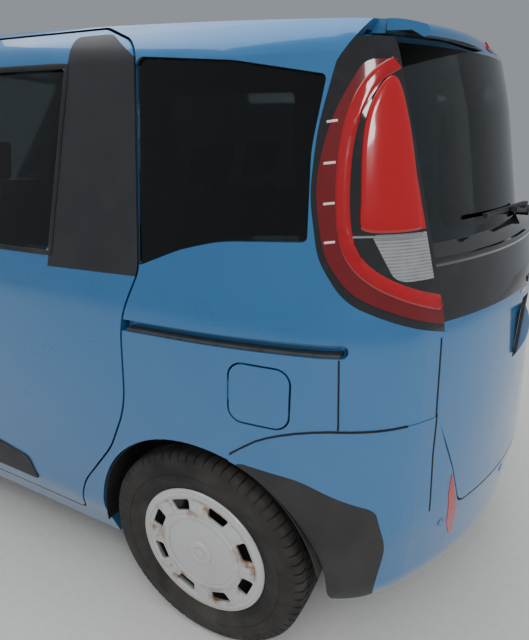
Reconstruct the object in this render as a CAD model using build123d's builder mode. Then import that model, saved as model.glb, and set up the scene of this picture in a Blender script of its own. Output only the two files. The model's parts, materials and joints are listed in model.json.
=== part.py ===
"""A compact minivan with a hollow body, opening doors and lids, steering and free-turning wheels.

All sizes are in millimetres. X points forward, Y to the left and Z up. The origin lies on the
road under the middle of the vehicle.
"""

import os
from collections import namedtuple
from math import asin, cos, degrees, hypot, radians, sin, sqrt

from build123d import *

# Overall sizes
length = 4260
width = 1695
height = 1695
wheelbase = 2750
front_overhang = 785
bumper_bulge = 10

# Wheels and tyres
tyre_radius = 311
tyre_width = 186
wheel_track = 1480
rim_radius = 190
cover_radius = 199
rim_wall = 9
cover_windows = 8
window_circle_radius = 150
hub_pin_radius = 15
hub_running_gap = 0.05

# Body walls and gaps
shut_gap = 6
body_seam = 0.6
seat_gap = 0.3
panel_depth = 50
flange_gap = 6
flange_depth = 20
flange_overlap = 26
glass_depth = 9
glass_thickness = 5
glass_fit = 0.3
sill_height = 190
floor_height = 300
floor_thickness = 30

# Places along the vehicle
front_axle_x = length / 2 - front_overhang
rear_axle_x = front_axle_x - wheelbase
door_front_x = 880
door_split_x = -150
belt_height = 1060
door_top_height = 1640
door_bottom_height = 262
rear_arch_radius = 356
front_arch_radius = 368
roof_rear_x = rear_axle_x - 345
roof_edge_y = 580
roof_thickness = 26
roof_crown = 28
roof_drop_radius = 26000
roof_top_x = -250
tailgate_half_width = 605
tailgate_sill_height = 490
bumper_top_height = 785

# Joint limits in degrees, also written in the record

half_width = width / 2
plan_half_width = half_width - bumper_bulge
wheel_y = wheel_track / 2

# Upright section of the body side: height, inset from the widest line, corner radius
body_skin = (
    (sill_height, 62, 0),
    (330, 8, 180),
    (700, 0, 2600),
    (1010, 14, 500),
    (1596, 149, 130),
    (1652, 204, 70),
    (1674, 262, 0),
)

# The same for the bumpers, which stand a little proud of the body
bumper_skin = (
    (222, 58, 0),
    (300, 6, 120),
    (500, -bumper_bulge, 700),
    (680, 0, 500),
    (820, 3, 0),
)

# The tailgate below its glass, the glass above it, and the garnish between them
tailgate_skin = (
    (tailgate_sill_height, -8, 0),
    (690, 2, 900),
    (1003, 24, 700),
    (1150, 60, 0),
)
rear_glass_skin = (
    (1120, 96, 0),
    (1225, 118, 500),
    (1477, 172, 900),
    (1600, 212, 0),
)

# The body's skin below the windscreen's foot, for the wings and the nose
front_skin = ((600, 2.16, 0),) + body_skin[2:4] + ((1090, 32.4, 0),)

# Plan of each end: arc radius, and the turn in degrees that it reaches
tail_arcs = ((2000, 10.1), (340, 57))
nose_arcs = ((2200, 12), (330, 62))

Span = namedtuple("Span", "x y turn radius reached way")


def plan_spans(end_x, way, arcs):
    """Arcs of the plan from the straight side to the middle of the nose (way 1) or tail (way -1)."""
    x = 0
    y = plan_half_width
    turn = 0
    spans = []
    for radius, reached in arcs + ((None, 90),):
        if radius is None:
            radius = y / cos(radians(turn))
        spans.append(Span(x, y, turn, radius, reached, way))
        x += way * radius * (sin(radians(reached)) - sin(radians(turn)))
        y += radius * (cos(radians(reached)) - cos(radians(turn)))
        turn = reached
    return [span._replace(x=span.x + end_x - x) for span in spans]


nose_spans = plan_spans(length / 2 - bumper_bulge, 1, nose_arcs)
tail_spans = plan_spans(-length / 2 + bumper_bulge, -1, tail_arcs)
tail_centre_x = tail_spans[2].x + tail_spans[2].radius * sin(radians(tail_spans[2].turn))


def outline(rows):
    """Face inside a closed outline, given as rows of across, up and corner radius."""
    with BuildSketch() as face:
        with BuildLine():
            FilletPolyline(*[(row[0], row[1]) for row in rows], radius=[row[2] for row in rows], close=True)
        make_face()
    return face.sketch


def wall_section(skin, outer, inner):
    """Upright section of a wall between two depths behind its skin."""
    front = [(-inset - outer, z, radius) for z, inset, radius in skin]
    back = [(-inset - inner, z, radius) for z, inset, radius in reversed(skin)]
    return outline(front + back)


def sweep_wall(skin, outer, inner, spans=(), straight=False):
    """Left half of a wall, swept along plan arcs and, if asked for, along the straight side."""
    with BuildPart() as wall:
        if straight:
            start = tail_spans[0]
            with BuildSketch(Plane((start.x, start.y, 0), x_dir=(0, 1, 0), z_dir=(1, 0, 0))):
                add(wall_section(skin, outer, inner))
            extrude(amount=nose_spans[0].x - start.x)
        for span in spans:
            outward = (span.way * sin(radians(span.turn)), cos(radians(span.turn)), 0)
            facing = (outward[1], -outward[0], 0)
            with BuildSketch(Plane((span.x, span.y, 0), x_dir=outward, z_dir=facing)):
                add(wall_section(skin, outer, inner))
            centre = (span.x - span.radius * outward[0], span.y - span.radius * outward[1], 0)
            revolve(axis=Axis(centre, (0, 0, -span.way)), revolution_arc=span.reached - span.turn)
    return wall.part


def side_prism(rows, near=0, far=1200):
    """Side-view outline (x, z, corner radius) pushed across from y = near to y = far."""
    with BuildPart() as prism:
        with BuildSketch(Plane.XZ.offset(-near)):
            add(outline(rows))
        extrude(amount=near - far)
    return prism.part


def rear_prism(rows, near=-2500, far=0):
    """Rear-view outline (y, z, corner radius) pushed forward from x = near to x = far."""
    with BuildPart() as prism:
        with BuildSketch(Plane.YZ.offset(near)):
            add(outline(rows))
        extrude(amount=far - near)
    return prism.part


def grow(rows, margin):
    """The same outline moved outward by a margin, with its rounded corners grown to match."""
    count = len(rows)
    turn_sum = sum(
        rows[i][0] * rows[(i + 1) % count][1] - rows[(i + 1) % count][0] * rows[i][1] for i in range(count)
    )
    side = 1 if turn_sum > 0 else -1
    grown = []
    for i in range(count):
        before, here, after = rows[i - 1], rows[i], rows[(i + 1) % count]
        one = (here[0] - before[0], here[1] - before[1])
        two = (after[0] - here[0], after[1] - here[1])
        one_normal = (side * one[1] / hypot(*one), -side * one[0] / hypot(*one))
        two_normal = (side * two[1] / hypot(*two), -side * two[0] / hypot(*two))
        share = margin / (1 + one_normal[0] * two_normal[0] + one_normal[1] * two_normal[1])
        outward_corner = side * (one[0] * two[1] - one[1] * two[0]) > 0
        radius = here[2] and max(here[2] + (margin if outward_corner else -margin), 1)
        x = here[0] + share * (one_normal[0] + two_normal[0])
        z = here[1] + share * (one_normal[1] + two_normal[1])
        grown.append((x, z, radius))
    return grown


def plan_corner(spans, inset):
    """Arcs of one end's left half, at an inset, as rows of start, middle and end points."""
    rows = []
    for span in spans:
        centre_x = span.x - span.way * span.radius * sin(radians(span.turn))
        centre_y = span.y - span.radius * cos(radians(span.turn))
        radius = span.radius - inset
        turns = (span.turn, (span.turn + span.reached) / 2, span.reached)
        rows.append(
            [
                (centre_x + span.way * radius * sin(radians(turn)), centre_y + radius * cos(radians(turn)))
                for turn in turns
            ]
        )
    return rows


def plan_prism(inset, low, high):
    """Everything inside the body's plan, at an inset, between two heights."""
    tail = plan_corner(tail_spans, inset)
    nose = plan_corner(nose_spans, inset)
    with BuildPart() as prism:
        with BuildSketch(Plane.XY.offset(low)):
            with BuildLine():
                for start, middle, end in tail + nose:
                    ThreePointArc(start, middle, end)
                Line(tail[0][0], nose[0][0])
                Line(tail[-1][2], nose[-1][2])
            make_face()
            mirror(about=Plane.XZ)
        extrude(amount=high - low)
    return prism.part


def both_sides(part):
    """A left-hand part together with its mirror image."""
    with BuildPart() as pair:
        add(part)
        mirror(about=Plane.XZ)
    return pair.part


def mirrored(part):
    """The right-hand copy of a left-hand part."""
    with BuildPart() as copy:
        add(part)
        mirror(about=Plane.XZ, mode=Mode.REPLACE)
    return copy.part


# Side-view outlines: x, z, corner radius
sliding_door_outline = (
    (door_split_x - shut_gap / 2, door_bottom_height, 20),
    (door_split_x - shut_gap / 2, door_top_height, 20),
    (rear_axle_x + 330, door_top_height, 60),
    (rear_axle_x + 216, 1600, 60),
    (rear_axle_x + 160, 1094, 90),
    (rear_axle_x + 216, 960, 300),
    (rear_axle_x + 220, 720, 300),
    (rear_axle_x + 290, 570, 300),
    (rear_axle_x + 425, 400, 200),
    (rear_axle_x + 470, door_bottom_height, 30),
)
front_door_outline = (
    (door_split_x + shut_gap / 2, door_bottom_height, 20),
    (door_front_x - 40, door_bottom_height, 60),
    (door_front_x, 480, 200),
    (door_front_x, belt_height + 10, 30),
    (450, door_top_height - 18, 80),
    (330, door_top_height, 200),
    (door_split_x + shut_gap / 2, door_top_height, 20),
)
sliding_window_outline = (
    (door_split_x - 70, 1090, 30),
    (door_split_x - 70, 1560, 30),
    (rear_axle_x + 428, 1560, 30),
    (rear_axle_x + 462, 1105, 40),
)
front_window_outline = (
    (door_split_x + 75, 1088, 30),
    (door_split_x + 75, 1560, 30),
    (385, 1560, 50),
    (795, 1085, 30),
)
quarter_pane_outline = (
    (door_front_x + 28, 1092, 12),
    (door_front_x + 190, 1092, 20),
    (640, 1408, 30),
)
pillar_panel_outline = (
    (rear_axle_x + 470, 1068, 0),
    (rear_axle_x + 424, 1575, 12),
    (rear_axle_x + 424, 1628, 20),
    (rear_axle_x + 300, 1628, 60),
    (rear_axle_x + 100, 1500, 0),
    (rear_axle_x + 100, 1082, 0),
)
quarter_glass_outline = (
    (rear_axle_x + 160, 1105, 8),
    (rear_axle_x + 208, 1572, 20),
    (rear_axle_x - 55, 1553, 400),
    (rear_axle_x - 262, 1520, 12),
    (rear_axle_x - 248, 1380, 300),
    (rear_axle_x - 262, 1197, 12),
    (rear_axle_x - 60, 1184, 400),
    (rear_axle_x + 40, 1156, 300),
)
tail_lamp_outline = (
    (rear_axle_x - 278, 1545, 40),
    (rear_axle_x - 256, 1420, 500),
    (rear_axle_x - 256, 1290, 300),
    (rear_axle_x - 288, 1165, 160),
    (rear_axle_x - 350, 1082, 160),
    (rear_axle_x - 545, 992, 0),
    (rear_axle_x - 900, 900, 0),
    (rear_axle_x - 900, 1700, 0),
    (rear_axle_x - 340, 1640, 0),
)
rear_bumper_outline = (
    (rear_axle_x - 100, 668, 60),
    (rear_axle_x - 190, 736, 200),
    (rear_axle_x - 330, bumper_top_height, 120),
    (rear_axle_x - 900, bumper_top_height, 0),
    (rear_axle_x - 900, 150, 0),
    (rear_axle_x - 100, 150, 0),
)
front_bumper_outline = (
    (front_axle_x + 100, 668, 40),
    (front_axle_x + 260, 700, 100),
    (front_axle_x + 1000, 700, 0),
    (front_axle_x + 1000, 150, 0),
    (front_axle_x + 100, 150, 0),
)
fuel_flap_centre = (rear_axle_x - 178, 843)
fuel_flap_size = 146
fuel_flap_corner = 34
flap_gap = 5
flap_thickness = 4
flap_pocket_depth = 42


# Slot of the sliding door's middle rail in the quarter panel
slot_front_x = rear_axle_x + 240
slot_rear_x = rear_axle_x - 371
slot_height = 31
slot_depth = 26
slot_outline = (
    (slot_front_x, 935, 0),
    (slot_front_x, 935 + slot_height, 0),
    (slot_rear_x, 960 + slot_height, 14),
    (slot_rear_x, 960, 14),
)
rail_lip = 8
rail_outline = (
    (rear_axle_x + 195, 937.1, 0),
    (rear_axle_x + 195, 937.1 + rail_lip, 0),
    (slot_rear_x + 16, 959.7 + rail_lip, 0),
    (slot_rear_x + 16, 959.7, 0),
)

# Dark cladding along the foot of both left doors
door_strip_outline = (
    (rear_axle_x + 640, 322, 12),
    (rear_axle_x + 672, 405, 30),
    (rear_axle_x + 815, 428, 200),
    (door_front_x - 12, 428, 0),
    (door_front_x - 12, 322, 0),
)
door_strip_depth = 10
door_strip_stands_out = 4


def flap_outline(margin):
    """Rounded square of the fuel flap, grown by a margin."""
    side = fuel_flap_size / 2 + margin
    x, z = fuel_flap_centre
    corner = fuel_flap_corner + margin
    return (
        (x - side, z - side, corner),
        (x + side, z - side, corner),
        (x + side, z + side, corner),
        (x - side, z + side, corner),
    )


def arch_cut(axle_x, radius):
    """Cutter for one wheel arch, open to the road."""
    with BuildPart() as cutter:
        with BuildSketch(Plane.XZ.offset(-480)):
            with Locations((axle_x, tyre_radius)):
                Circle(radius)
            with Locations((axle_x, 0)):
                Rectangle(2 * radius, 2 * tyre_radius)
        extrude(amount=-520)
    return cutter.part


# Roof


def roof_shell(top_gap, thickness, edge_y, from_x, to_x):
    """Crowned panel that follows the roof's lengthwise drop, a depth below its top."""
    centre_z = height - roof_drop_radius
    crown_radius = (roof_edge_y**2 + roof_crown**2) / (2 * roof_crown)
    start = degrees(asin((to_x - roof_top_x) / roof_drop_radius))
    sweep = degrees(asin((to_x - from_x) / roof_drop_radius))
    direction = (cos(radians(start)), 0, -sin(radians(start)))
    origin = (roof_top_x, 0, centre_z)
    with BuildPart() as shell:
        with BuildSketch(Plane(origin, x_dir=(0, 1, 0), z_dir=direction)):
            edge_drop = crown_radius - sqrt(crown_radius**2 - edge_y**2)
            top = roof_drop_radius - top_gap
            with BuildLine():
                ThreePointArc((-edge_y, top - edge_drop), (0, top), (edge_y, top - edge_drop))
                Line((edge_y, top - edge_drop), (edge_y, top - edge_drop - thickness))
                ThreePointArc(
                    (edge_y, top - edge_drop - thickness),
                    (0, top - thickness),
                    (-edge_y, top - edge_drop - thickness),
                )
                Line((-edge_y, top - edge_drop - thickness), (-edge_y, top - edge_drop))
            make_face()
        revolve(axis=Axis(origin, (0, -1, 0)), revolution_arc=sweep)
    return shell.part


# Front: windscreen line and bonnet surface
windscreen_header = (512, 1672)
windscreen_base = (1230, 1072)
windscreen_arc = 2400
windscreen_thickness = 6
header_overlap = 60
screen_run_in = 60
screen_run_out = 80
screen_low_trim = 12
screen_clearing = 3000
screen_length = hypot(windscreen_base[0] - windscreen_header[0], windscreen_header[1] - windscreen_base[1])
screen_lean = (
    (windscreen_header[0] - windscreen_base[0]) / screen_length,
    0,
    (windscreen_header[1] - windscreen_base[1]) / screen_length,
)
pillar_header = (470, 1645)
pillar_base = (1165, 1060)
bonnet_rear_x = 1262
bonnet_rear_z = 1054
bonnet_radius = 2600
bonnet_rear_slope = 9
bonnet_mid_slope = 27
nose_radius = 110
nose_slope = 80
nose_depth = 280
core_overlap_x = 60
core_overlap_y = 40
shoulder_radius = 45
bonnet_thickness = 28
bonnet_half_width = 640


def bonnet_profile(drop):
    """Side-view arcs of the bonnet's surface at a drop below it: three ends and two middles."""
    centre_x = bonnet_rear_x - bonnet_radius * sin(radians(bonnet_rear_slope))
    centre_z = bonnet_rear_z - bonnet_radius * cos(radians(bonnet_rear_slope))

    def point(x, z, radius, slope):
        return (x + (radius - drop) * sin(radians(slope)), z + (radius - drop) * cos(radians(slope)))

    first = [
        point(centre_x, centre_z, bonnet_radius, slope)
        for slope in (bonnet_rear_slope, (bonnet_rear_slope + bonnet_mid_slope) / 2, bonnet_mid_slope)
    ]
    step = bonnet_radius - nose_radius
    nose_x = centre_x + step * sin(radians(bonnet_mid_slope))
    nose_z = centre_z + step * cos(radians(bonnet_mid_slope))
    second = [
        point(nose_x, nose_z, nose_radius, slope)
        for slope in ((bonnet_mid_slope + nose_slope) / 2, nose_slope)
    ]
    return first + second


def sky_prism(drop, near, far):
    """Everything above and ahead of the bonnet's surface, at a drop below it."""
    arcs = bonnet_profile(drop)
    with BuildPart() as sky:
        with BuildSketch(Plane.XZ.offset(-near)):
            with BuildLine():
                Line((arcs[0][0] - 900, 1500), (arcs[0][0] - 900, arcs[0][1] + 6))
                Line((arcs[0][0] - 900, arcs[0][1] + 6), arcs[0])
                ThreePointArc(arcs[0], arcs[1], arcs[2])
                ThreePointArc(arcs[2], arcs[3], arcs[4])
                Line(arcs[4], (length, arcs[4][1] - 30))
                Line((length, arcs[4][1] - 30), (length, 1500))
                Line((length, 1500), (arcs[0][0] - 900, 1500))
            make_face()
        extrude(amount=near - far)
    return sky.part


def cabin_cut():
    """Everything ahead of the screen pillars, above the wing tops."""
    return side_prism(
        (
            (pillar_header[0] - 30, height + 50, 0),
            (pillar_header[0], pillar_header[1], 0),
            (pillar_base[0], pillar_base[1], 0),
            (length, pillar_base[1], 0),
            (length, height + 50, 0),
        )
    )


rear_header_height = 1604
wing_rear_x = door_front_x + shut_gap
wing_top_y = bonnet_half_width + shut_gap
cabin_wall_depth = panel_depth + flange_gap + flange_depth


def make_side_frame():
    """Left body side: quarter panel, sills, pillars, roof rail and the flanges behind the doors."""
    inner_start = panel_depth + flange_gap
    openings = (sliding_door_outline, front_door_outline)
    with BuildPart() as frame:
        add(sweep_wall(body_skin, 0, inner_start, tail_spans, straight=True))
        for opening in openings:
            add(side_prism(grow(opening, shut_gap)), mode=Mode.SUBTRACT)
        add(sweep_wall(body_skin, inner_start, cabin_wall_depth, tail_spans, straight=True))
        for opening in openings:
            add(side_prism(grow(opening, -flange_overlap)), mode=Mode.SUBTRACT)
        add(cabin_cut(), mode=Mode.SUBTRACT)
        add(arch_cut(rear_axle_x, rear_arch_radius), mode=Mode.SUBTRACT)
        add(side_prism(quarter_glass_outline), mode=Mode.SUBTRACT)
        add(side_prism(quarter_pane_outline), mode=Mode.SUBTRACT)
        add(side_prism(grow(tail_lamp_outline, body_seam)), mode=Mode.SUBTRACT)
        add(side_prism(grow(rear_bumper_outline, body_seam)), mode=Mode.SUBTRACT)
        # The wing's skin covers the pillar ahead of the front door, and takes over further forward
        add(
            side_prism(
                (
                    (wing_rear_x - 2, 0, 0),
                    (wing_rear_x - 2, pillar_base[1], 0),
                    (length, pillar_base[1], 0),
                    (length, 0, 0),
                ),
                near=plan_half_width - inner_wing_inset - glass_fit,
            ),
            mode=Mode.SUBTRACT,
        )
        add(
            side_prism(
                (
                    (door_front_x + 40, 0, 0),
                    (door_front_x + 40, pillar_base[1], 0),
                    (length, pillar_base[1], 0),
                    (length, 0, 0),
                )
            ),
            mode=Mode.SUBTRACT,
        )
        # Opening of the tailgate and the seat of the roof panel
        with BuildSketch(Plane.YZ.offset(-length)):
            with Locations((0, height / 2)):
                Rectangle(2 * (tailgate_half_width + shut_gap), 3 * height)
        extrude(amount=length + roof_rear_x + 4, mode=Mode.SUBTRACT)
        with BuildSketch(Plane.YZ.offset(-length)):
            Rectangle(2 * (tailgate_half_width + shut_gap), 2 * rear_header_height)
        extrude(amount=length + roof_rear_x + 130, mode=Mode.SUBTRACT)
        add(roof_shell(-150, 150, half_width, -length / 2, length / 3), mode=Mode.SUBTRACT)
        add(roof_shell(-1, roof_thickness + 1, roof_edge_y, -length / 2, length / 3), mode=Mode.SUBTRACT)
        flap_keep = side_prism(flap_outline(flap_gap), near=700)
        add(
            wall_piece(body_skin, -2, flap_pocket_depth, tail_spans[:1], False, flap_keep),
            mode=Mode.SUBTRACT,
        )
        add(
            wall_piece(body_skin, -2, slot_depth, tail_spans[:2], True, side_prism(slot_outline)),
            mode=Mode.SUBTRACT,
        )
        leaf_wall = sweep_wall(body_skin, panel_depth + seat_gap, inner_start + 2, straight=True)
        for x, z in door_leaf_places:
            with BuildSketch(Plane.XZ) as place:
                with Locations((x, z)):
                    Rectangle(leaf_width, leaf_height)
            with BuildPart(mode=Mode.PRIVATE) as leaf:
                add(leaf_wall)
                extrude(place.sketch, amount=-width, mode=Mode.INTERSECT)
            add(leaf.part)
        with BuildPart(mode=Mode.PRIVATE) as flap_leaf:
            add(sweep_wall(body_skin, flap_thickness + seat_gap, flap_thickness + 12, tail_spans[:1]))
            with BuildSketch(Plane.XZ):
                leaf_x = fuel_flap_centre[0] + fuel_flap_size / 2 + flap_gap + 4
                with Locations((leaf_x, fuel_flap_centre[1])):
                    Rectangle(24, 50, align=(Align.MAX, Align.CENTER))
            extrude(amount=-width, mode=Mode.INTERSECT)
        add(flap_leaf.part)
    return frame.part


# Where the doors bear on the frame: hinge leaves of the front door, rollers' brackets of the sliding door
leaf_width = 30
leaf_height = 70
leaf_inset = 14
door_leaf_places = (
    (door_front_x - leaf_inset, 480),
    (door_front_x - leaf_inset, 900),
    (door_split_x - leaf_inset - shut_gap, 480),
    (door_split_x - leaf_inset - shut_gap, 900),
)


def make_roof():
    """Roof panel between the ditches, up to the windscreen's top edge."""
    with BuildPart() as roof:
        add(roof_shell(0, roof_thickness, roof_edge_y, roof_rear_x, windscreen_header[0] + header_overlap))
        with BuildSketch(Plane.XY.offset(windscreen_base[1])):
            Rectangle(screen_clearing, screen_clearing, align=(Align.MIN, Align.CENTER))
            with Locations((windscreen_base[0] - windscreen_arc, 0)):
                Circle(windscreen_arc - windscreen_thickness / screen_lean[2] - 1, mode=Mode.SUBTRACT)
        extrude(amount=2 * screen_length, dir=screen_lean, mode=Mode.SUBTRACT)
    return roof.part


def screen_trim():
    """Front-view outline of the windscreen between its pillars: across, up, corner radius."""
    fit = 6
    right = [
        (plan_half_width - inset - cabin_wall_depth - fit, z, 0) for z, inset, _ in body_skin if z > 1200
    ]
    base_inset = body_skin[3][1] + 12
    low = [
        (plan_half_width - base_inset - cabin_wall_depth - fit, windscreen_base[1] - screen_low_trim, 0),
    ]
    rows = low + right
    return [(-y, z, r) for y, z, r in reversed(rows)] + rows


def make_windscreen():
    """Curved windscreen, leaning back from the cowl to the roof."""
    wall = windscreen_thickness / screen_lean[2]
    with BuildPart() as screen:
        with BuildSketch(Plane.XY.offset(windscreen_base[1] - screen_run_in)):
            shift = screen_run_in * abs(screen_lean[0] / screen_lean[2])
            with Locations((windscreen_base[0] + shift - windscreen_arc, 0)):
                Circle(windscreen_arc)
                Circle(windscreen_arc - wall, mode=Mode.SUBTRACT)
            with Locations((windscreen_base[0] - 1500, 0)):
                Rectangle(2400, 4000, align=(Align.MAX, Align.CENTER), mode=Mode.SUBTRACT)
        extrude(amount=screen_length + screen_run_out, dir=screen_lean)
        add(rear_prism(screen_trim(), near=0, far=2000), mode=Mode.INTERSECT)
        with BuildSketch(Plane.XZ):
            with Locations((0, windscreen_base[1] - screen_low_trim)):
                screen_rise = windscreen_header[1] - windscreen_base[1] + 10
                Rectangle(2 * length, screen_rise, align=(Align.CENTER, Align.MIN))
        extrude(amount=width, both=True, mode=Mode.INTERSECT)
    return screen.part


def wall_piece(skin, outer, inner, spans, straight, keep, cuts=()):
    """A piece of the body wall: kept inside one prism and cut by others."""
    with BuildPart() as piece:
        add(sweep_wall(skin, outer, inner, spans, straight))
        add(keep, mode=Mode.INTERSECT)
        for cutter in cuts:
            add(cutter, mode=Mode.SUBTRACT)
    return piece.part


def make_sliding_door():
    """Left sliding door with its window cut and a seat for the pillar panel."""
    with BuildPart() as door:
        add(sweep_wall(body_skin, 0, panel_depth, tail_spans[:1], straight=True))
        add(side_prism(sliding_door_outline), mode=Mode.INTERSECT)
        add(side_prism(sliding_window_outline), mode=Mode.SUBTRACT)
        add(pillar_panel_block(), mode=Mode.SUBTRACT)
        add(door_strip_block(0), mode=Mode.SUBTRACT)
    return door.part


def door_strip_block(shrink):
    """The outer skin of both left doors inside the cladding strip's outline, or the strip itself."""
    outer = -door_strip_stands_out
    keep = side_prism(grow(door_strip_outline, -shrink) if shrink else door_strip_outline)
    return wall_piece(body_skin, outer, door_strip_depth - shrink, (), True, keep)


def make_door_strip(door_outline):
    """Dark strip along the foot of one left door."""
    with BuildPart() as strip:
        add(door_strip_block(glass_fit))
        add(side_prism(door_outline), mode=Mode.INTERSECT)
    return strip.part


pillar_panel_depth = 8


def pillar_panel_block():
    """The outer skin of the wall inside the pillar panel's outline."""
    return wall_piece(
        body_skin, 0, pillar_panel_depth, tail_spans[:1], True, side_prism(pillar_panel_outline)
    )


def make_pillar_panel():
    """Charcoal cover on the rear upper part of the sliding door."""
    with BuildPart() as panel:
        add(pillar_panel_block())
        add(side_prism(sliding_door_outline), mode=Mode.INTERSECT)
        add(side_prism(sliding_window_outline), mode=Mode.SUBTRACT)
    return panel.part


def make_pane(rows, spans=(), straight=True):
    """One side pane inside its opening."""
    keep = side_prism(grow(rows, -glass_fit))
    return wall_piece(body_skin, glass_depth, glass_depth + glass_thickness, spans, straight, keep)


def make_front_door():
    """Left front door with its window cut."""
    cuts = (side_prism(front_window_outline), door_strip_block(0))
    return wall_piece(body_skin, 0, panel_depth, (), True, side_prism(front_door_outline), cuts)


def make_mirror():
    """Left door mirror: a rounded housing on a short foot, and a pocket for its glass."""
    with BuildPart() as mirror_part:
        with BuildSketch(Plane.YZ.offset(mirror_x)):
            with Locations((mirror_y, mirror_z)):
                RectangleRounded(mirror_width, mirror_height, mirror_height * 0.35)
        extrude(amount=mirror_length / 2)
        with BuildSketch(Plane.YZ.offset(mirror_x + mirror_length / 2)):
            with Locations((mirror_y, mirror_z)):
                RectangleRounded(mirror_width, mirror_height, mirror_height * 0.35)
        with BuildSketch(Plane.YZ.offset(mirror_x + mirror_length)):
            with Locations((mirror_y - 12, mirror_z)):
                RectangleRounded(mirror_width * 0.62, mirror_height * 0.6, mirror_height * 0.28)
        loft()
        with BuildSketch(Plane.YZ.offset(mirror_x)):
            with Locations((mirror_y, mirror_z)):
                RectangleRounded(mirror_width - 16, mirror_height - 16, mirror_height * 0.3)
        extrude(amount=12, mode=Mode.SUBTRACT)
        with BuildSketch(Plane.YZ.offset(mirror_x + 20)):
            with Locations((mirror_foot_y, mirror_z - mirror_height / 2 + 3)):
                Rectangle(mirror_y - mirror_foot_y, 40, align=(Align.MIN, Align.MAX))
        extrude(amount=60)
        add(sweep_wall(body_skin, 0, panel_depth, straight=True), mode=Mode.SUBTRACT)
    return mirror_part.part


mirror_x = 785
mirror_y = 925
mirror_z = 1152
mirror_width = 165
mirror_height = 140
mirror_length = 96
mirror_foot_y = 795


# Plan outline of the bonnet's left half: x, y, corner radius
bonnet_front_inset = 100
bonnet_outline = (
    (bonnet_rear_x, 0, 0),
    (bonnet_rear_x, bonnet_half_width, 20),
    (bonnet_rear_x + 420, bonnet_half_width - 10, 300),
    (length, bonnet_half_width - 130, 0),
    (length, 0, 0),
)


def bonnet_block(margin):
    """Left half of the upright block that the bonnet is cut with."""
    with BuildPart() as block:
        with BuildSketch(Plane.XY.offset(600)):
            add(outline(grow(bonnet_outline, margin)))
        extrude(amount=600)
        add(plan_prism(bonnet_front_inset - margin, 500, 1300), mode=Mode.INTERSECT)
    return block.part


def front_volume():
    """Left half of everything under the bonnet's surface, its outer edge rounded."""
    low = front_skin[0][0]
    with BuildPart() as volume:
        add(sweep_wall(front_skin, 0, nose_depth, nose_spans, straight=True))
        with BuildSketch(Plane.XY.offset(low)):
            with Locations((wing_rear_x, 0)):
                Rectangle(
                    nose_front_x - nose_depth + core_overlap_x - wing_rear_x,
                    plan_half_width - nose_depth + core_overlap_y,
                    align=(Align.MIN, Align.MIN),
                )
        extrude(amount=wing_top_z - low)
        with BuildSketch(Plane.XZ):
            with Locations((wing_rear_x, low)):
                Rectangle(length, wing_top_z - low, align=(Align.MIN, Align.MIN))
        extrude(amount=-width, mode=Mode.INTERSECT)
        add(sky_prism(0, -10, 1200), mode=Mode.SUBTRACT)
        tops = [face for face in volume.faces() if face.normal_at(face.center()).Z > 0.3]
        walls = [face for face in volume.faces() if faces_outward(face)]
        top_edges = [edge for face in tops for edge in face.edges()]
        wall_edges = [edge for face in walls for edge in face.edges()]
        rim = [edge for edge in wall_edges if any(edge.is_same(top) for top in top_edges)]
        rim = [edge for edge in rim if edge.center().X < nose_front_x - rim_stops_short]
        fillet(rim, radius=shoulder_radius)
    return volume.part


def faces_outward(face):
    """True for the faces on the body's side and nose."""
    facing = face.normal_at(face.center())
    return abs(facing.Z) < 0.25 and facing.X > -0.1 and facing.Y + facing.X > 0.5 and face.center().X > 1000


nose_front_x = length / 2 - bumper_bulge
wing_top_z = 1080
wing_wall = panel_depth + 12
rim_stops_short = 60


def front_shell():
    """Left half of the wings, nose and bonnet as one shell, before it is split."""
    low = front_skin[0][0]
    with BuildPart() as hollow:
        add(plan_prism(wing_wall, low - 10, wing_top_z + 20))
        add(sky_prism(bonnet_thickness, -width, width), mode=Mode.SUBTRACT)
    with BuildPart() as shell:
        add(front_volume())
        add(hollow.part, mode=Mode.SUBTRACT)
    return shell.part


bonnet_tab_inset = 60
bonnet_tab_overlap = 60
bonnet_tab_width = 40


def make_bonnet(shell):
    """Bonnet: the shell's top, inside the bonnet's outline."""
    with BuildPart() as half:
        add(shell)
        add(bonnet_block(0), mode=Mode.INTERSECT)
        with BuildSketch(Plane.XY.offset(cowl_lip_z - seat_gap - hinge_tab_thickness)):
            with Locations((cowl_tab_x, bonnet_half_width - bonnet_tab_inset)):
                reach = bonnet_rear_x + bonnet_tab_overlap - cowl_tab_x
                Rectangle(reach, bonnet_tab_width, align=(Align.MIN, Align.CENTER))
        extrude(amount=hinge_tab_thickness)
    with BuildPart() as bonnet:
        add(half.part)
        mirror(about=Plane.XZ)
    return bonnet.part


hinge_tab_thickness = 12
cowl_lip_z = 1018
cowl_tab_x = 1190


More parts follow.
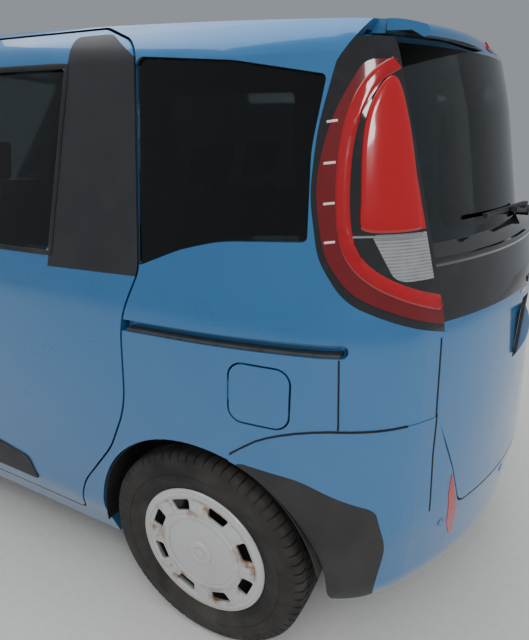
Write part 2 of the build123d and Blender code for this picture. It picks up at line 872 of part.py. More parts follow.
def make_wing(shell):
    """Left front wing, ahead of the front door and above the bumper, with its top as far as the bonnet."""
    low = front_skin[0][0]
    cowl_x = firewall_x + 15
    with BuildPart() as wing:
        add(shell)
        add(
            wall_piece(
                body_skin,
                0,
                wing_wall,
                (),
                True,
                side_prism(
                    (
                        (wing_rear_x, sill_height, 0),
                        (wing_rear_x, low + 5, 0),
                        (front_axle_x - 60, low + 5, 0),
                        (front_axle_x - 60, sill_height, 0),
                    )
                ),
            )
        )
        add(bonnet_block(shut_gap), mode=Mode.SUBTRACT)
        add(arch_cut(front_axle_x, front_arch_radius), mode=Mode.SUBTRACT)
        add(side_prism(grow(front_bumper_outline, body_seam), near=-10), mode=Mode.SUBTRACT)
        add(side_prism(grow(headlamp_zone, body_seam), near=nose_panel_half_width), mode=Mode.SUBTRACT)
        for end_x, inner_y in (
            (wing_rear_x + 34, plan_half_width - inner_wing_inset),
            (cowl_x, plan_half_width - wing_wall - 6),
            (bonnet_rear_x, wing_top_y),
            (length, nose_panel_half_width),
        ):
            with BuildSketch():
                Rectangle(end_x, inner_y, align=(Align.MIN, Align.MIN))
            extrude(amount=height, mode=Mode.SUBTRACT)
    return wing.part


inner_wing_inset = 40
headlamp_zone = (
    (front_axle_x + 470, 702, 20),
    (front_axle_x + 350, 885, 25),
    (front_axle_x + 430, 912, 25),
    (length, 770, 0),
    (length, 702, 0),
)


def make_headlamp(shell):
    """Left headlamp, wrapped round the front corner."""
    with BuildPart() as lamp:
        add(shell)
        add(side_prism(headlamp_zone, near=nose_panel_half_width + body_seam), mode=Mode.INTERSECT)
        add(bonnet_block(shut_gap), mode=Mode.SUBTRACT)
    return lamp.part


def make_nose_panel(shell):
    """Panel between the headlamps, under the bonnet's front edge."""
    with BuildPart() as half:
        add(shell)
        add(bonnet_block(shut_gap), mode=Mode.SUBTRACT)
        add(side_prism(grow(front_bumper_outline, body_seam), near=-10), mode=Mode.SUBTRACT)
        with BuildSketch():
            with Locations((nose_spans[2].x - 200, 0)):
                Rectangle(length, nose_panel_half_width - body_seam, align=(Align.MIN, Align.MIN))
        extrude(amount=height, mode=Mode.INTERSECT)
    with BuildPart() as panel:
        add(half.part)
        mirror(about=Plane.XZ)
    return panel.part


nose_panel_half_width = 470


def make_front_bumper():
    """Front bumper and nose, up to the bonnet and the headlamps."""
    low = side_prism(front_bumper_outline)
    with BuildPart() as half:
        add(sweep_wall(bumper_skin, 0, panel_depth, nose_spans, straight=True))
        add(low, mode=Mode.INTERSECT)
        add(arch_cut(front_axle_x, front_arch_radius), mode=Mode.SUBTRACT)
        add(lower_grille_cut(0), mode=Mode.SUBTRACT)
    with BuildPart() as bumper:
        add(half.part)
        mirror(about=Plane.XZ)
    return bumper.part


lower_grille = (560, 285, 470)


def lower_grille_cut(margin):
    """Rounded opening of the lower grille, cut straight back."""
    half_across, low, high = lower_grille
    return rear_prism(
        (
            (-half_across - margin, low - margin, 40),
            (half_across + margin, low - margin, 40),
            (half_across * 0.86 + margin, high + margin, 40),
            (-half_across * 0.86 - margin, high + margin, 40),
        ),
        near=1500,
        far=2400,
    )


def make_grille():
    """Lower grille: a frame with level bars set back in the bumper's opening."""
    half_across, low, high = lower_grille
    bars = 5
    pitch = (high - low) / bars
    with BuildPart() as half:
        add(sweep_wall(bumper_skin, 24, 40, nose_spans[2:]))
        add(lower_grille_cut(-0.3), mode=Mode.INTERSECT)
        for bar in range(bars - 1):
            with BuildSketch(Plane.YZ.offset(1500)):
                with Locations((0, low + (bar + 0.75) * pitch)):
                    Rectangle(half_across * 0.86 - 24, pitch * 0.62, align=(Align.MIN, Align.CENTER))
            extrude(amount=900, mode=Mode.SUBTRACT)
    with BuildPart() as grille:
        add(half.part)
        mirror(about=Plane.XZ)
    return grille.part


def make_rear_bumper():
    """Rear bumper, round both corners and under the tailgate."""
    low = side_prism(rear_bumper_outline)
    with BuildPart() as half:
        add(sweep_wall(bumper_skin, 0, panel_depth, tail_spans, straight=True))
        add(low, mode=Mode.INTERSECT)
        add(arch_cut(rear_axle_x, rear_arch_radius), mode=Mode.SUBTRACT)
        add(rear_prism(grow(tailgate_low_outline, shut_gap)), mode=Mode.SUBTRACT)
        add(corner_cladding_block(), mode=Mode.SUBTRACT)
        add(make_reflector(-reflector_stands_out, 0), mode=Mode.SUBTRACT)
    with BuildPart() as bumper:
        add(half.part)
        mirror(about=Plane.XZ)
    return bumper.part


# Rear-view outline of the upright reflector beside the tailgate's foot: y, z, corner radius
reflector_outline = (
    (546, 602, 2),
    (553, 540, 40),
    (540, 440, 60),
    (516, 384, 3),
    (503, 384, 3),
    (513, 478, 0),
)
reflector_depth = 6
reflector_stands_out = 1.5


def make_reflector(outer, shrink):
    """Left reflector, set into the rear bumper's skin."""
    with BuildPart() as reflector:
        add(sweep_wall(bumper_skin, outer, reflector_depth - shrink, tail_spans))
        keep = grow(reflector_outline, -shrink) if shrink else reflector_outline
        add(rear_prism(keep), mode=Mode.INTERSECT)
    return reflector.part


# Rear-view outline of the tailgate: y, z, corner radius
tailgate_low_outline = (
    (-tailgate_half_width, 1700, 0),
    (-tailgate_half_width, 790, 150),
    (-540, 615, 150),
    (-505, tailgate_sill_height, 30),
    (505, tailgate_sill_height, 30),
    (540, 615, 150),
    (tailgate_half_width, 790, 150),
    (tailgate_half_width, 1700, 0),
)

corner_cladding_outline = (
    (rear_axle_x - 112, 655, 30),
    (rear_axle_x - 290, 642, 200),
    (rear_axle_x - 452, 572, 40),
    (rear_axle_x - 480, 455, 200),
    (rear_axle_x - 450, 238, 30),
    (rear_axle_x - 100, 238, 0),
)
cladding_depth = 14


def corner_cladding_block():
    """The outer skin of the rear bumper inside the corner cladding's outline."""
    return wall_piece(
        bumper_skin, -1, cladding_depth, tail_spans, True, side_prism(corner_cladding_outline, near=300)
    )


def make_corner_cladding():
    """Dark cladding on the bumper's corner behind the rear wheel."""
    with BuildPart() as cladding:
        add(sweep_wall(bumper_skin, 0, cladding_depth, tail_spans, straight=True))
        add(side_prism(grow(corner_cladding_outline, -0.5), near=300), mode=Mode.INTERSECT)
        add(arch_cut(rear_axle_x, rear_arch_radius), mode=Mode.SUBTRACT)
    return cladding.part


def lamp_block(outer, inner, keep, near=0):
    """A layer of the tail lamp between two depths, inside a side-view outline and beside the tailgate."""
    with BuildPart() as block:
        add(sweep_wall(body_skin, outer, inner, tail_spans))
        add(side_prism(tail_lamp_outline), mode=Mode.INTERSECT)
        add(side_prism(keep, near=tailgate_half_width + near), mode=Mode.INTERSECT)
    return block.part


lamp_whole = (
    (rear_axle_x, 900, 0),
    (rear_axle_x, 1588, 0),
    (rear_axle_x - 900, 1588, 0),
    (rear_axle_x - 900, 900, 0),
)
ring_outline = (
    (rear_axle_x - 330, 1545, 30),
    (rear_axle_x - 268, 1420, 400),
    (rear_axle_x - 268, 1290, 300),
    (rear_axle_x - 300, 1172, 160),
    (rear_axle_x - 360, 1098, 160),
    (rear_axle_x - 545, 1010, 0),
    (rear_axle_x - 900, 920, 0),
    (rear_axle_x - 900, 1030, 0),
    (rear_axle_x - 500, 1082, 0),
    (rear_axle_x - 392, 1140, 100),
    (rear_axle_x - 342, 1220, 120),
    (rear_axle_x - 322, 1330, 300),
    (rear_axle_x - 326, 1430, 200),
    (rear_axle_x - 385, 1548, 0),
)
red_lens_outline = (
    (rear_axle_x - 350, 1440, 30),
    (rear_axle_x - 380, 1490, 0),
    (rear_axle_x - 900, 1490, 0),
    (rear_axle_x - 900, 1222, 0),
    (rear_axle_x - 372, 1222, 14),
)
clear_lens_outline = (
    (rear_axle_x - 384, 1216, 6),
    (rear_axle_x - 900, 1216, 0),
    (rear_axle_x - 900, 1118, 0),
    (rear_axle_x - 440, 1118, 40),
)
ring_depth = 16
lens_depth = 22
ring_stands_out = 3


def make_tail_lamp_pieces():
    """Left tail lamp: black case, red ring, big red lens and the clear lens below it."""
    ring = lamp_block(-ring_stands_out, ring_depth, ring_outline, 4)
    red = lamp_block(0, lens_depth, red_lens_outline, 10)
    clear = lamp_block(0, lens_depth, clear_lens_outline, 10)
    with BuildPart() as case:
        add(lamp_block(0, panel_depth, lamp_whole))
        for piece in (ring, red, clear):
            add(piece, mode=Mode.SUBTRACT)
    return case.part, ring, red, clear


def tailgate_wall(skin, outer, inner, keep):
    """A wall of the tailgate, bowed across the whole back, inside a rear-view outline."""
    with BuildPart() as half:
        add(sweep_wall(skin, outer, inner, wide_tail))
    with BuildPart() as piece:
        add(half.part)
        mirror(about=Plane.XZ)
        add(rear_prism(keep), mode=Mode.INTERSECT)
    return piece.part


# The tailgate's bow carries on a little past the corner arcs, because its glass is narrower in plan
tail_reach = 50
last = tail_spans[2]
wide_tail = [
    last._replace(
        x=tail_centre_x - last.radius * sin(radians(tail_reach)),
        y=last.radius * cos(radians(tail_reach)),
        turn=tail_reach,
    )
]
garnish_band = (1012, 1150)
garnish_depth = 16
garnish_outline = (
    (-tailgate_half_width, garnish_band[0], 0),
    (tailgate_half_width, garnish_band[0], 0),
    (tailgate_half_width, garnish_band[1], 0),
    (-tailgate_half_width, garnish_band[1], 0),
)
plate_width = 520
plate_height = 112
plate_thickness = 4
plate_z = 902
plate_pocket_margin = 22
plate_pocket_depth = 26
rear_window_outline = (
    (-500, 1190, 50),
    (500, 1190, 50),
    (440, 1540, 50),
    (-440, 1540, 50),
)
rear_glass_outline = (
    (-tailgate_half_width, 1153, 20),
    (tailgate_half_width, 1153, 20),
    (tailgate_half_width - 12, 1586, 20),
    (-tailgate_half_width + 12, 1586, 20),
)


def make_tailgate_panel():
    """Tailgate shell: lower skin with its plate pocket, and the frame behind the glass."""
    with BuildPart() as panel:
        add(tailgate_wall(tailgate_skin, 0, panel_depth, tailgate_low_outline))
        add(tailgate_wall(tailgate_skin, -5, garnish_depth, garnish_outline), mode=Mode.SUBTRACT)
        add(tailgate_wall(rear_glass_skin, glass_thickness, panel_depth, rear_glass_outline_frame))
        add(rear_prism(rear_window_outline), mode=Mode.SUBTRACT)
        with BuildSketch(Plane.YZ.offset(plate_floor_x)):
            with Locations((0, plate_z)):
                pocket_width = plate_width + 2 * plate_pocket_margin
                RectangleRounded(pocket_width, plate_height + 2 * plate_pocket_margin, 20)
        extrude(amount=-400, mode=Mode.SUBTRACT)
        add(make_spoiler(), mode=Mode.SUBTRACT)
    return panel.part


rear_glass_outline_frame = (
    (-tailgate_half_width, 1121, 0),
    (tailgate_half_width, 1121, 0),
    (tailgate_half_width - 12, 1598, 0),
    (-tailgate_half_width + 12, 1598, 0),
)
plate_floor_x = tail_centre_x - last.radius + 16 + plate_pocket_depth


def make_plate():
    """Blank number plate on the floor of its pocket."""
    with BuildPart() as plate:
        with BuildSketch(Plane.YZ.offset(plate_floor_x)):
            with Locations((0, plate_z)):
                RectangleRounded(plate_width, plate_height, 8)
        extrude(amount=-plate_thickness)
    return plate.part


def make_spoiler():
    """Roof spoiler above the rear glass, bowed with the tailgate."""
    section = (
        (roof_rear_x - 5, 1634, 0),
        (roof_rear_x - 5, 1600, 0),
        (roof_rear_x - 60, 1602, 30),
        (rear_axle_x - 470, 1588, 6),
        (rear_axle_x - 492, 1604, 8),
        (rear_axle_x - 480, 1622, 14),
        (roof_rear_x - 70, 1650, 120),
        (roof_rear_x - 5, 1652, 0),
    )
    with BuildPart() as block:
        add(side_prism(section, near=-tailgate_half_width + 4, far=tailgate_half_width - 4))
        add(roof_shell(-150, 150, half_width, -length / 2, 0), mode=Mode.SUBTRACT)
        with BuildSketch(Plane.XY):
            with Locations((tail_centre_x - 60, 0)):
                Circle(last.radius - 150)
        extrude(amount=height, mode=Mode.INTERSECT)
        with BuildPart(mode=Mode.PRIVATE) as tabs:
            add(
                roof_shell(
                    roof_thickness + seat_gap,
                    hinge_tab_thickness,
                    roof_edge_y,
                    roof_rear_x - 14,
                    roof_rear_x + hinge_tab_reach,
                )
            )
            with BuildSketch(Plane.XY):
                with Locations((roof_rear_x, hinge_tab_y), (roof_rear_x, -hinge_tab_y)):
                    Rectangle(100, 60)
            extrude(amount=height, mode=Mode.INTERSECT)
        add(tabs.part)
    return block.part


hinge_tab_y = 470
hinge_tab_reach = 20


def make_floor():
    """Cabin floor, raised over the rear axle, with the firewall at its front."""
    half = plan_half_width - panel_depth
    rear_half = plan_half_width - panel_depth - 40
    with BuildPart() as floor:
        with BuildSketch(Plane.XY.offset(floor_height - floor_thickness)):
            with Locations((floor_step_x, 0)):
                Rectangle(firewall_x - floor_step_x, 2 * half, align=(Align.MIN, Align.CENTER))
        extrude(amount=floor_thickness)
        add(sweep_wall(body_skin, -20, cabin_wall_depth + seat_gap, straight=True), mode=Mode.SUBTRACT)
        mirrored_wall = mirror(
            sweep_wall(body_skin, -20, cabin_wall_depth + seat_gap, straight=True),
            about=Plane.XZ,
            mode=Mode.PRIVATE,
        )
        add(mirrored_wall, mode=Mode.SUBTRACT)
        with BuildSketch(Plane.XY.offset(rear_floor_height - floor_thickness)):
            with Locations((floor_step_x, 0)):
                Rectangle(length, 2 * rear_half, align=(Align.MAX, Align.CENTER))
            for side in (1, -1):
                with Locations((floor_step_x, side * rear_house_inner_y)):
                    Rectangle(
                        floor_step_x - rear_axle_x + rear_arch_radius + 12,
                        rear_half,
                        align=(Align.MAX, Align.MIN if side > 0 else Align.MAX),
                        mode=Mode.SUBTRACT,
                    )
        extrude(amount=floor_thickness)
        add(plan_prism(panel_depth + 20, 0, height), mode=Mode.INTERSECT)
        with BuildSketch(Plane.XY.offset(floor_height - floor_thickness)):
            with Locations((floor_step_x, 0)):
                Rectangle(floor_thickness, 2 * rear_house_inner_y, align=(Align.MAX, Align.CENTER))
        extrude(amount=rear_floor_height - floor_height + floor_thickness)
        with BuildSketch(Plane.XY.offset(floor_height)):
            with Locations((firewall_x, 0)):
                Rectangle(firewall_thickness, 2 * front_house_inner_y - 10, align=(Align.MAX, Align.CENTER))
        extrude(amount=dash_low_z + 140 - floor_height)
    return floor.part


floor_step_x = -1000
rear_floor_height = 450
firewall_x = 960
firewall_thickness = 20
rear_house_inner_y = 600
house_outer_y = 735
front_house_inner_y = 455
dash_low_z = 640


def make_wheel_house(axle_x, radius, inner_y, outer_y):
    """Half-round liner over one wheel, closed on its inner side."""
    wall = 5
    with BuildPart() as house:
        with BuildSketch(Plane.XY.offset(tyre_radius)):
            with Locations((axle_x, inner_y)):
                Rectangle(radius, outer_y - inner_y, align=(Align.MIN, Align.MIN))
            with Locations((axle_x, inner_y + wall)):
                inside_width = outer_y - inner_y - wall
                Rectangle(radius - wall, inside_width, align=(Align.MIN, Align.MIN), mode=Mode.SUBTRACT)
        revolve(axis=Axis((axle_x, 0, tyre_radius), (0, -1, 0)), revolution_arc=180)
        with BuildSketch(Plane.XZ.offset(-inner_y + 10)):
            with Locations((axle_x, tyre_radius)):
                Circle(hub_opening_radius)
        extrude(amount=-wall - 20, mode=Mode.SUBTRACT)
        with BuildSketch(Plane(strut_foot, x_dir=(1, 0, 0), z_dir=strut_lean)):
            Circle(strut_opening_radius)
        extrude(amount=500, mode=Mode.SUBTRACT)
        add(plan_prism(panel_depth + 40, 0, height), mode=Mode.INTERSECT)
    return house.part


hub_opening_radius = 75
strut_opening_radius = 76


def tyre_and_wheel(axle_x):
    """Left tyre and wheel on one axle; the wheel is a steel rim with a full cover."""
    side = tyre_width / 2
    tyre_rows = (
        (-side + 15, rim_radius + 1, 0),
        (-side + 15, 203, 6),
        (-side, 245, 30),
        (-side + 4, 290, 20),
        (-side + 20, tyre_radius - 3, 12),
        (0, tyre_radius, 0),
        (side - 20, tyre_radius - 3, 12),
        (side - 4, 290, 20),
        (side, 245, 30),
        (side - 15, 203, 6),
        (side - 15, rim_radius + 1, 0),
        (side - 24, rim_radius + 1, 0),
        (side - 24, rim_radius + 20, 8),
        (0, tyre_radius - 14, 0),
        (-side + 24, rim_radius + 20, 8),
        (-side + 24, rim_radius + 1, 0),
    )
    plane = Plane((axle_x, wheel_y, tyre_radius), x_dir=(0, 1, 0), z_dir=(1, 0, 0))
    axis = Axis((axle_x, wheel_y, tyre_radius), (0, 1, 0))
    with BuildPart() as tyre:
        with BuildSketch(plane):
            add(outline(tyre_rows))
        revolve(axis=axis)
    rim_side = side - 10
    bore = hub_pin_radius + hub_running_gap
    rim_rows = (
        (-rim_side, rim_radius - rim_wall, 0),
        (-rim_side, rim_radius + 8, 0),
        (-rim_side + 4, rim_radius + 8, 0),
        (-rim_side + 4, rim_radius + 1, 0),
        (-rim_side + 30, rim_radius + 1, 0),
        (-rim_side + 30, rim_radius, 0),
        (rim_side - 4, rim_radius, 0),
        (rim_side - 4, rim_radius + 8, 0),
        (rim_side, rim_radius + 8, 0),
        (rim_side, rim_radius - rim_wall, 0),
        (disc_face, rim_radius - rim_wall, 0),
        (disc_face, bore, 0),
        (disc_face - 30, bore, 0),
        (disc_face - 30, 34, 0),
        (disc_face - 8, 60, 0),
        (disc_face - 8, rim_radius - rim_wall, 0),
    )
    with BuildPart() as rim:
        with BuildSketch(plane):
            add(outline(rim_rows))
        revolve(axis=axis)
    cover_rows = (
        (rim_side, rim_radius - rim_wall + 1, 0),
        (rim_side, cover_radius, 0),
        (rim_side + 3, cover_radius - 2, 0),
        (rim_side + 5, 176, 10),
        (rim_side + 2, 168, 6),
        (rim_side + 5, 122, 40),
        (rim_side + 9, 60, 200),
        (rim_side + 9, 33, 0),
        (rim_side + 8, 32, 0),
        (rim_side + 8, 30, 0),
        (rim_side + 10, 28, 0),
        (rim_side + 10.5, 0, 0),
        (rim_side + 4, 0, 0),
        (rim_side + 4, 60, 200),
        (rim_side, 122, 40),
        (rim_side - 4, 166, 0),
        (rim_side - 4, 178, 0),
    )
    with BuildPart() as cover:
        with BuildSketch(plane):
            add(outline(cover_rows))
        revolve(axis=axis)
        with BuildSketch(Plane((axle_x, wheel_y, tyre_radius), x_dir=(1, 0, 0), z_dir=(0, 1, 0))):
            with PolarLocations(window_circle_radius, cover_windows, start_angle=180 / cover_windows):
                add(window_shape())
        extrude(amount=width, mode=Mode.SUBTRACT)
    return tyre.part, rim.part, cover.part


def window_shape():
    """One rounded trapezoid window of the wheel cover, its wide side outward."""
    with BuildSketch() as shape:
        with BuildLine():
            FilletPolyline((-16, -24), (17, -33), (17, 33), (-16, 24), radius=7, close=True)
        make_face()
    return shape.sketch


disc_face = 40


def make_knuckle():
    """Left front knuckle: carrier with a spindle, a top ear for the strut, a low ear and a steering arm."""
    plane = Plane.YZ.offset(front_axle_x - 28)
    with BuildPart() as knuckle:
        with BuildSketch(plane):
            add(
                outline(
                    (
                        (652, 222, 6),
                        (704, 222, 6),
                        (704, 262, 10),
                        (690, 300, 20),
                        (690, 350, 20),
                        (655, 400, 20),
                        (650, 440, 4),
                        (606, 440, 4),
                        (606, 410, 10),
                        (640, 370, 30),
                        (652, 300, 30),
                    )
                )
            )
        extrude(amount=56)
        with BuildSketch(Plane.XZ.offset(-(wheel_y + disc_face - 32 - 58))):
            with Locations((front_axle_x, tyre_radius)):
                Circle(46)
        extrude(amount=-57)
        with BuildSketch(Plane.XZ.offset(-(wheel_y + disc_face - 34))):
            with Locations((front_axle_x, tyre_radius)):
                Circle(hub_pin_radius)
        extrude(amount=-(30 - 2))
        with BuildSketch(Plane.XY.offset(235)):
            with Locations((front_axle_x - 28, 655)):
                Rectangle(120, 26, align=(Align.MAX, Align.CENTER))
        extrude(amount=22)
        with BuildSketch(steering_plane(arm_top - 20)):
            Circle(ball_pin_radius + hub_running_gap)
        extrude(amount=60, mode=Mode.SUBTRACT)
        with BuildSketch(steering_plane(strut_foot[2] - 24)):
            Circle(ball_pin_radius + hub_running_gap)
        extrude(amount=60, mode=Mode.SUBTRACT)
    return knuckle.part


strut_foot = (front_axle_x, 627, 446)
strut_top = (front_axle_x, 534, 885)
strut_lean = (0, strut_top[1] - strut_foot[1], strut_top[2] - strut_foot[2])
ball_pin_radius = 9
arm_top = 216
arm_thickness = 20
tower_plate_z = 880


def steering_plane(z):
    """Plane across the steering axis where the axis passes a height."""
    share = (z - strut_foot[2]) / strut_lean[2]
    return Plane((front_axle_x, strut_foot[1] + share * strut_lean[1], z), x_dir=(1, 0, 0), z_dir=strut_lean)


def make_front_suspension():
    """Subframe, lower arms with their ball pins, and the struts."""
    reach = hypot(*strut_lean)
    with BuildPart() as left:
        with BuildSketch(steering_plane(strut_foot[2])):
            Circle(17)
        extrude(amount=reach)
        with BuildSketch(steering_plane(strut_foot[2] - 22)):
            Circle(ball_pin_radius)
        extrude(amount=24)
        with BuildSketch(steering_plane(strut_foot[2] + 160)):
            Circle(62)
            Circle(48, mode=Mode.SUBTRACT)
        extrude(amount=reach - 170)
        with BuildSketch(steering_plane(strut_foot[2] + 160)):
            Circle(62)
        extrude(amount=6)
        with BuildSketch(Plane.XY.offset(tower_plate_z)):
            Rectangle(2 * length, 2 * length)
        extrude(amount=200, mode=Mode.SUBTRACT)
        with BuildSketch(Plane.XY.offset(arm_top - arm_thickness)):
            with BuildLine():
                FilletPolyline(
                    (front_axle_x - 150, 360),
                    (front_axle_x + 40, 360),
                    (front_axle_x + 30, 705),
                    (front_axle_x - 30, 705),
                    radius=14,
                    close=True,
                )
            make_face()
        extrude(amount=arm_thickness)
        with BuildSketch(steering_plane(arm_top - 4)):
            Circle(ball_pin_radius)
        extrude(amount=40)
    with BuildPart() as suspension:
        add(left.part)
        mirror(about=Plane.XZ)
        with BuildSketch(Plane.XY.offset(subframe_low)):
            with Locations((front_axle_x - 40, 0)):
                RectangleRounded(280, 800, 40)
                Rectangle(120, 420, mode=Mode.SUBTRACT)
        extrude(amount=subframe_top - subframe_low)
        with BuildSketch(Plane.XY.offset(subframe_low)):
            with Locations(*[(front_axle_x + x, y) for x in (-140, 60) for y in (-382, 382)]):
                Circle(17)
        extrude(amount=rail_low - subframe_low)
    return suspension.part


subframe_low = 195
subframe_top = 245
rail_low = 430


def make_strut_tower():
    """Left tower and side rail that carry the strut and the engine bay's parts."""
    plate = 24
    with BuildPart() as tower:
        with BuildSketch(Plane.XY.offset(tower_plate_z)):
            with Locations((front_axle_x, 556)):
                RectangleRounded(300, 250, 30)
        extrude(amount=12)
        with BuildSketch(Plane.XY.offset(rail_low)):
            with Locations((firewall_x, front_house_inner_y - plate - 50)):
                Rectangle(rail_front_x - firewall_x, 50, align=(Align.MIN, Align.MIN))
        extrude(amount=90)
        with BuildSketch(Plane.XY.offset(rail_low)):
            with Locations((front_axle_x, front_house_inner_y)):
                Rectangle(300, plate, align=(Align.CENTER, Align.MAX))
        extrude(amount=tower_plate_z + 12 - rail_low)
    return tower.part


rail_front_x = 1900


def make_engine():
    """Engine and gearbox as one plain block."""
    with BuildPart() as engine:
        with BuildSketch(Plane.XY.offset(subframe_top)):
            with Locations((front_axle_x + 80, 0)):
                RectangleRounded(460, 700, 60)
        extrude(amount=530)
    return engine.part


def make_rear_axle():
    """Twist-beam rear axle with trailing arms and the spindles for the wheels."""
    pivot_x = rear_axle_x + 440
    under_floor = floor_height - floor_thickness
    with BuildPart() as left:
        with BuildSketch(Plane.XZ.offset(-arm_y)):
            with BuildLine():
                FilletPolyline(
                    (rear_axle_x - 40, tyre_radius - 45),
                    (pivot_x - 60, under_floor - 40),
                    (pivot_x, under_floor - 40),
                    (pivot_x, under_floor),
                    (floor_step_x - floor_thickness - 4, under_floor),
                    (rear_axle_x + 60, tyre_radius + 45),
                    (rear_axle_x - 40, tyre_radius + 45),
                    radius=6,
                    close=True,
                )
            make_face()
        extrude(amount=-34)
        with BuildSketch(Plane.XZ.offset(-arm_y - 34)):
            with Locations((rear_axle_x, tyre_radius)):
                Circle(50)
        extrude(amount=-(wheel_y + disc_face - 32 - arm_y - 34))
        with BuildSketch(Plane.XZ.offset(-(wheel_y + disc_face - 34))):
            with Locations((rear_axle_x, tyre_radius)):
                Circle(hub_pin_radius)
        extrude(amount=-(30 - 2))
    with BuildPart() as axle:
        add(left.part)
        mirror(about=Plane.XZ)
        with BuildSketch(Plane.XZ.offset(-arm_y - 10)):
            with Locations((rear_axle_x + 190, tyre_radius - 14)):
                Rectangle(100, 50)
                with Locations((0, -12)):
                    Rectangle(76, 34, mode=Mode.SUBTRACT)
        extrude(amount=2 * arm_y + 20)
    return axle.part


arm_y = 550


def make_exhaust():
    """Exhaust pipe and silencer under the floor."""
    with BuildPart() as exhaust:
        with BuildSketch(Plane.XY.offset(190)):
            with Locations((rear_axle_x - 380, -180)):
                RectangleRounded(240, 520, 70)
        extrude(amount=79.7)
        with BuildSketch(Plane.YZ.offset(rear_axle_x - 260)):
            with Locations((pipe_y, pipe_z)):
                Circle(24)
        extrude(amount=front_axle_x - 320 - rear_axle_x + 260)
        with BuildSketch(Plane.XY.offset(pipe_z)):
            with Locations((rear_axle_x + 700, pipe_y), (rear_axle_x + 1700, pipe_y)):
                Circle(hanger_radius)
        extrude(amount=floor_height - floor_thickness - seat_gap - pipe_z)
        with BuildSketch(Plane.XY.offset(silencer_top - 10)):
            with Locations((rear_axle_x - 380, -380), (rear_axle_x - 380, 20)):
                Circle(hanger_radius)
        extrude(amount=rear_floor_height - floor_thickness - seat_gap - silencer_top + 10)
    return exhaust.part


pipe_y = -60
pipe_z = 228
silencer_top = 269.7
hanger_radius = 8


def make_fuel_tank():
    """Flat fuel tank under the cabin floor."""
    with BuildPart() as tank:
        with BuildSketch(Plane.XY.offset(170)):
            with Locations((-500, 300)):
                RectangleRounded(640, 560, 60)
        extrude(amount=floor_height - floor_thickness - 170)
    return tank.part


seat_back_thickness = 110


def seat(x, y, across, back_rake=14, head_rests=(0,), floor=floor_height, depth=480):
    """One seat or bench: cushion, back and head rests, as plain solids that touch."""
    base_height = 240 if floor == floor_height else 150
    base_z = floor + base_height
    with BuildPart() as cushion:
        with BuildSketch(Plane.XY.offset(base_z)):
            with Locations((x, y)):
                RectangleRounded(depth, across, 50)
        extrude(amount=130)
    with BuildPart() as base:
        with BuildSketch(Plane.XY.offset(floor)):
            with Locations((x, y)):
                RectangleRounded(depth - 120, across - 60, 20)
        extrude(amount=base_height)
    hinge = (x - depth / 2, y, base_z + 60)
    lean = (-sin(radians(back_rake)), 0, cos(radians(back_rake)))
    back_plane = Plane(hinge, x_dir=(0, 1, 0), z_dir=lean)
    with BuildPart() as back:
        with BuildSketch(back_plane):
            with Locations((0, seat_back_thickness / 2 + seat_gap)):
                RectangleRounded(across, seat_back_thickness, 40)
        extrude(amount=560)
    with BuildPart() as rests:
        with BuildSketch(back_plane.offset(560)):
            with Locations(*[(place, seat_back_thickness / 2 + seat_gap) for place in head_rests]):
                RectangleRounded(90, 20, 6)
        extrude(amount=50)
        with BuildSketch(back_plane.offset(610)):
            with Locations(*[(place, seat_back_thickness / 2 + seat_gap) for place in head_rests]):
                RectangleRounded(250, 90, 30)
        extrude(amount=150)
    return [cushion.part, base.part, back.part, rests.part]


def make_dashboard():
    """Dashboard across the cabin, with its top sloping to the windscreen."""
    half = 690
    back_x = firewall_x - firewall_thickness - seat_gap
    rows = (
        (back_x, dash_low_z, 0),
        (firewall_x - 200, dash_low_z, 30),
        (firewall_x - 260, 860, 60),
        (firewall_x - 240, 990, 50),
        (back_x, 1030, 0),
    )
    lean = (-cos(radians(90 - column_lean)), 0, sin(radians(90 - column_lean)))
    with BuildPart() as dashboard:
        add(side_prism(rows, near=-half, far=half))
        with BuildSketch(Plane(wheel_column_centre, x_dir=(0, 1, 0), z_dir=lean).offset(-14 - seat_gap)):
            Circle(26)
        extrude(amount=-200)
    return dashboard.part


def make_cowl():
    """Scuttle between the bonnet's rear edge and the windscreen's foot."""
    rows = (
        (firewall_x, 760, 0),
        (firewall_x, 1010, 0),
        (1100, cowl_top_z, 0),
        (bonnet_rear_x - 40, cowl_top_z, 0),
        (bonnet_rear_x - 40, cowl_lip_z, 0),
        (cowl_tab_x - 20, cowl_lip_z, 0),
        (1000, 1000, 0),
        (1000, 760, 0),
    )
    return side_prism(rows, near=-wing_top_y + 20, far=wing_top_y - 20)


wheel_column_centre = (560, 380, 1000)
column_lean = 62


def make_steering_wheel():
    """Steering wheel: a round rim, three spokes and a hub."""
    lean = (-cos(radians(90 - column_lean)), 0, sin(radians(90 - column_lean)))
    plane = Plane(wheel_column_centre, x_dir=(0, 1, 0), z_dir=lean)
    with BuildPart() as wheel:
        with BuildSketch(Plane(wheel_column_centre, x_dir=(0, 1, 0), z_dir=plane.y_dir)):
            with Locations((178, 0)):
                Circle(14)
        revolve(axis=Axis(wheel_column_centre, lean))
        with BuildSketch(plane.offset(-14)):
            Circle(58)
            with Locations((0, 0)):
                Rectangle(2 * 176, 34)
            with Locations((0, -86)):
                Rectangle(40, 172)
        extrude(amount=18)
    return wheel.part


def bar(start, end, thick, wide):
    """A straight bar between two points."""
    direction = Vector(*end) - Vector(*start)
    with BuildPart() as piece:
        with BuildSketch(Plane(start, x_dir=(0, 0, 1), z_dir=direction)):
            Rectangle(thick, wide)
        extrude(amount=direction.length)
    return piece.part


def on_windscreen(y, up, off):
    """A point off the windscreen's outer face, a way up from its foot."""
    facing = (screen_lean[2], -screen_lean[0])
    foot_x = windscreen_base[0] - windscreen_arc + sqrt(windscreen_arc**2 - y**2)
    return (
        foot_x + up * screen_lean[0] + off * facing[0],
        y,
        windscreen_base[1] + up * screen_lean[2] + off * facing[1],
    )


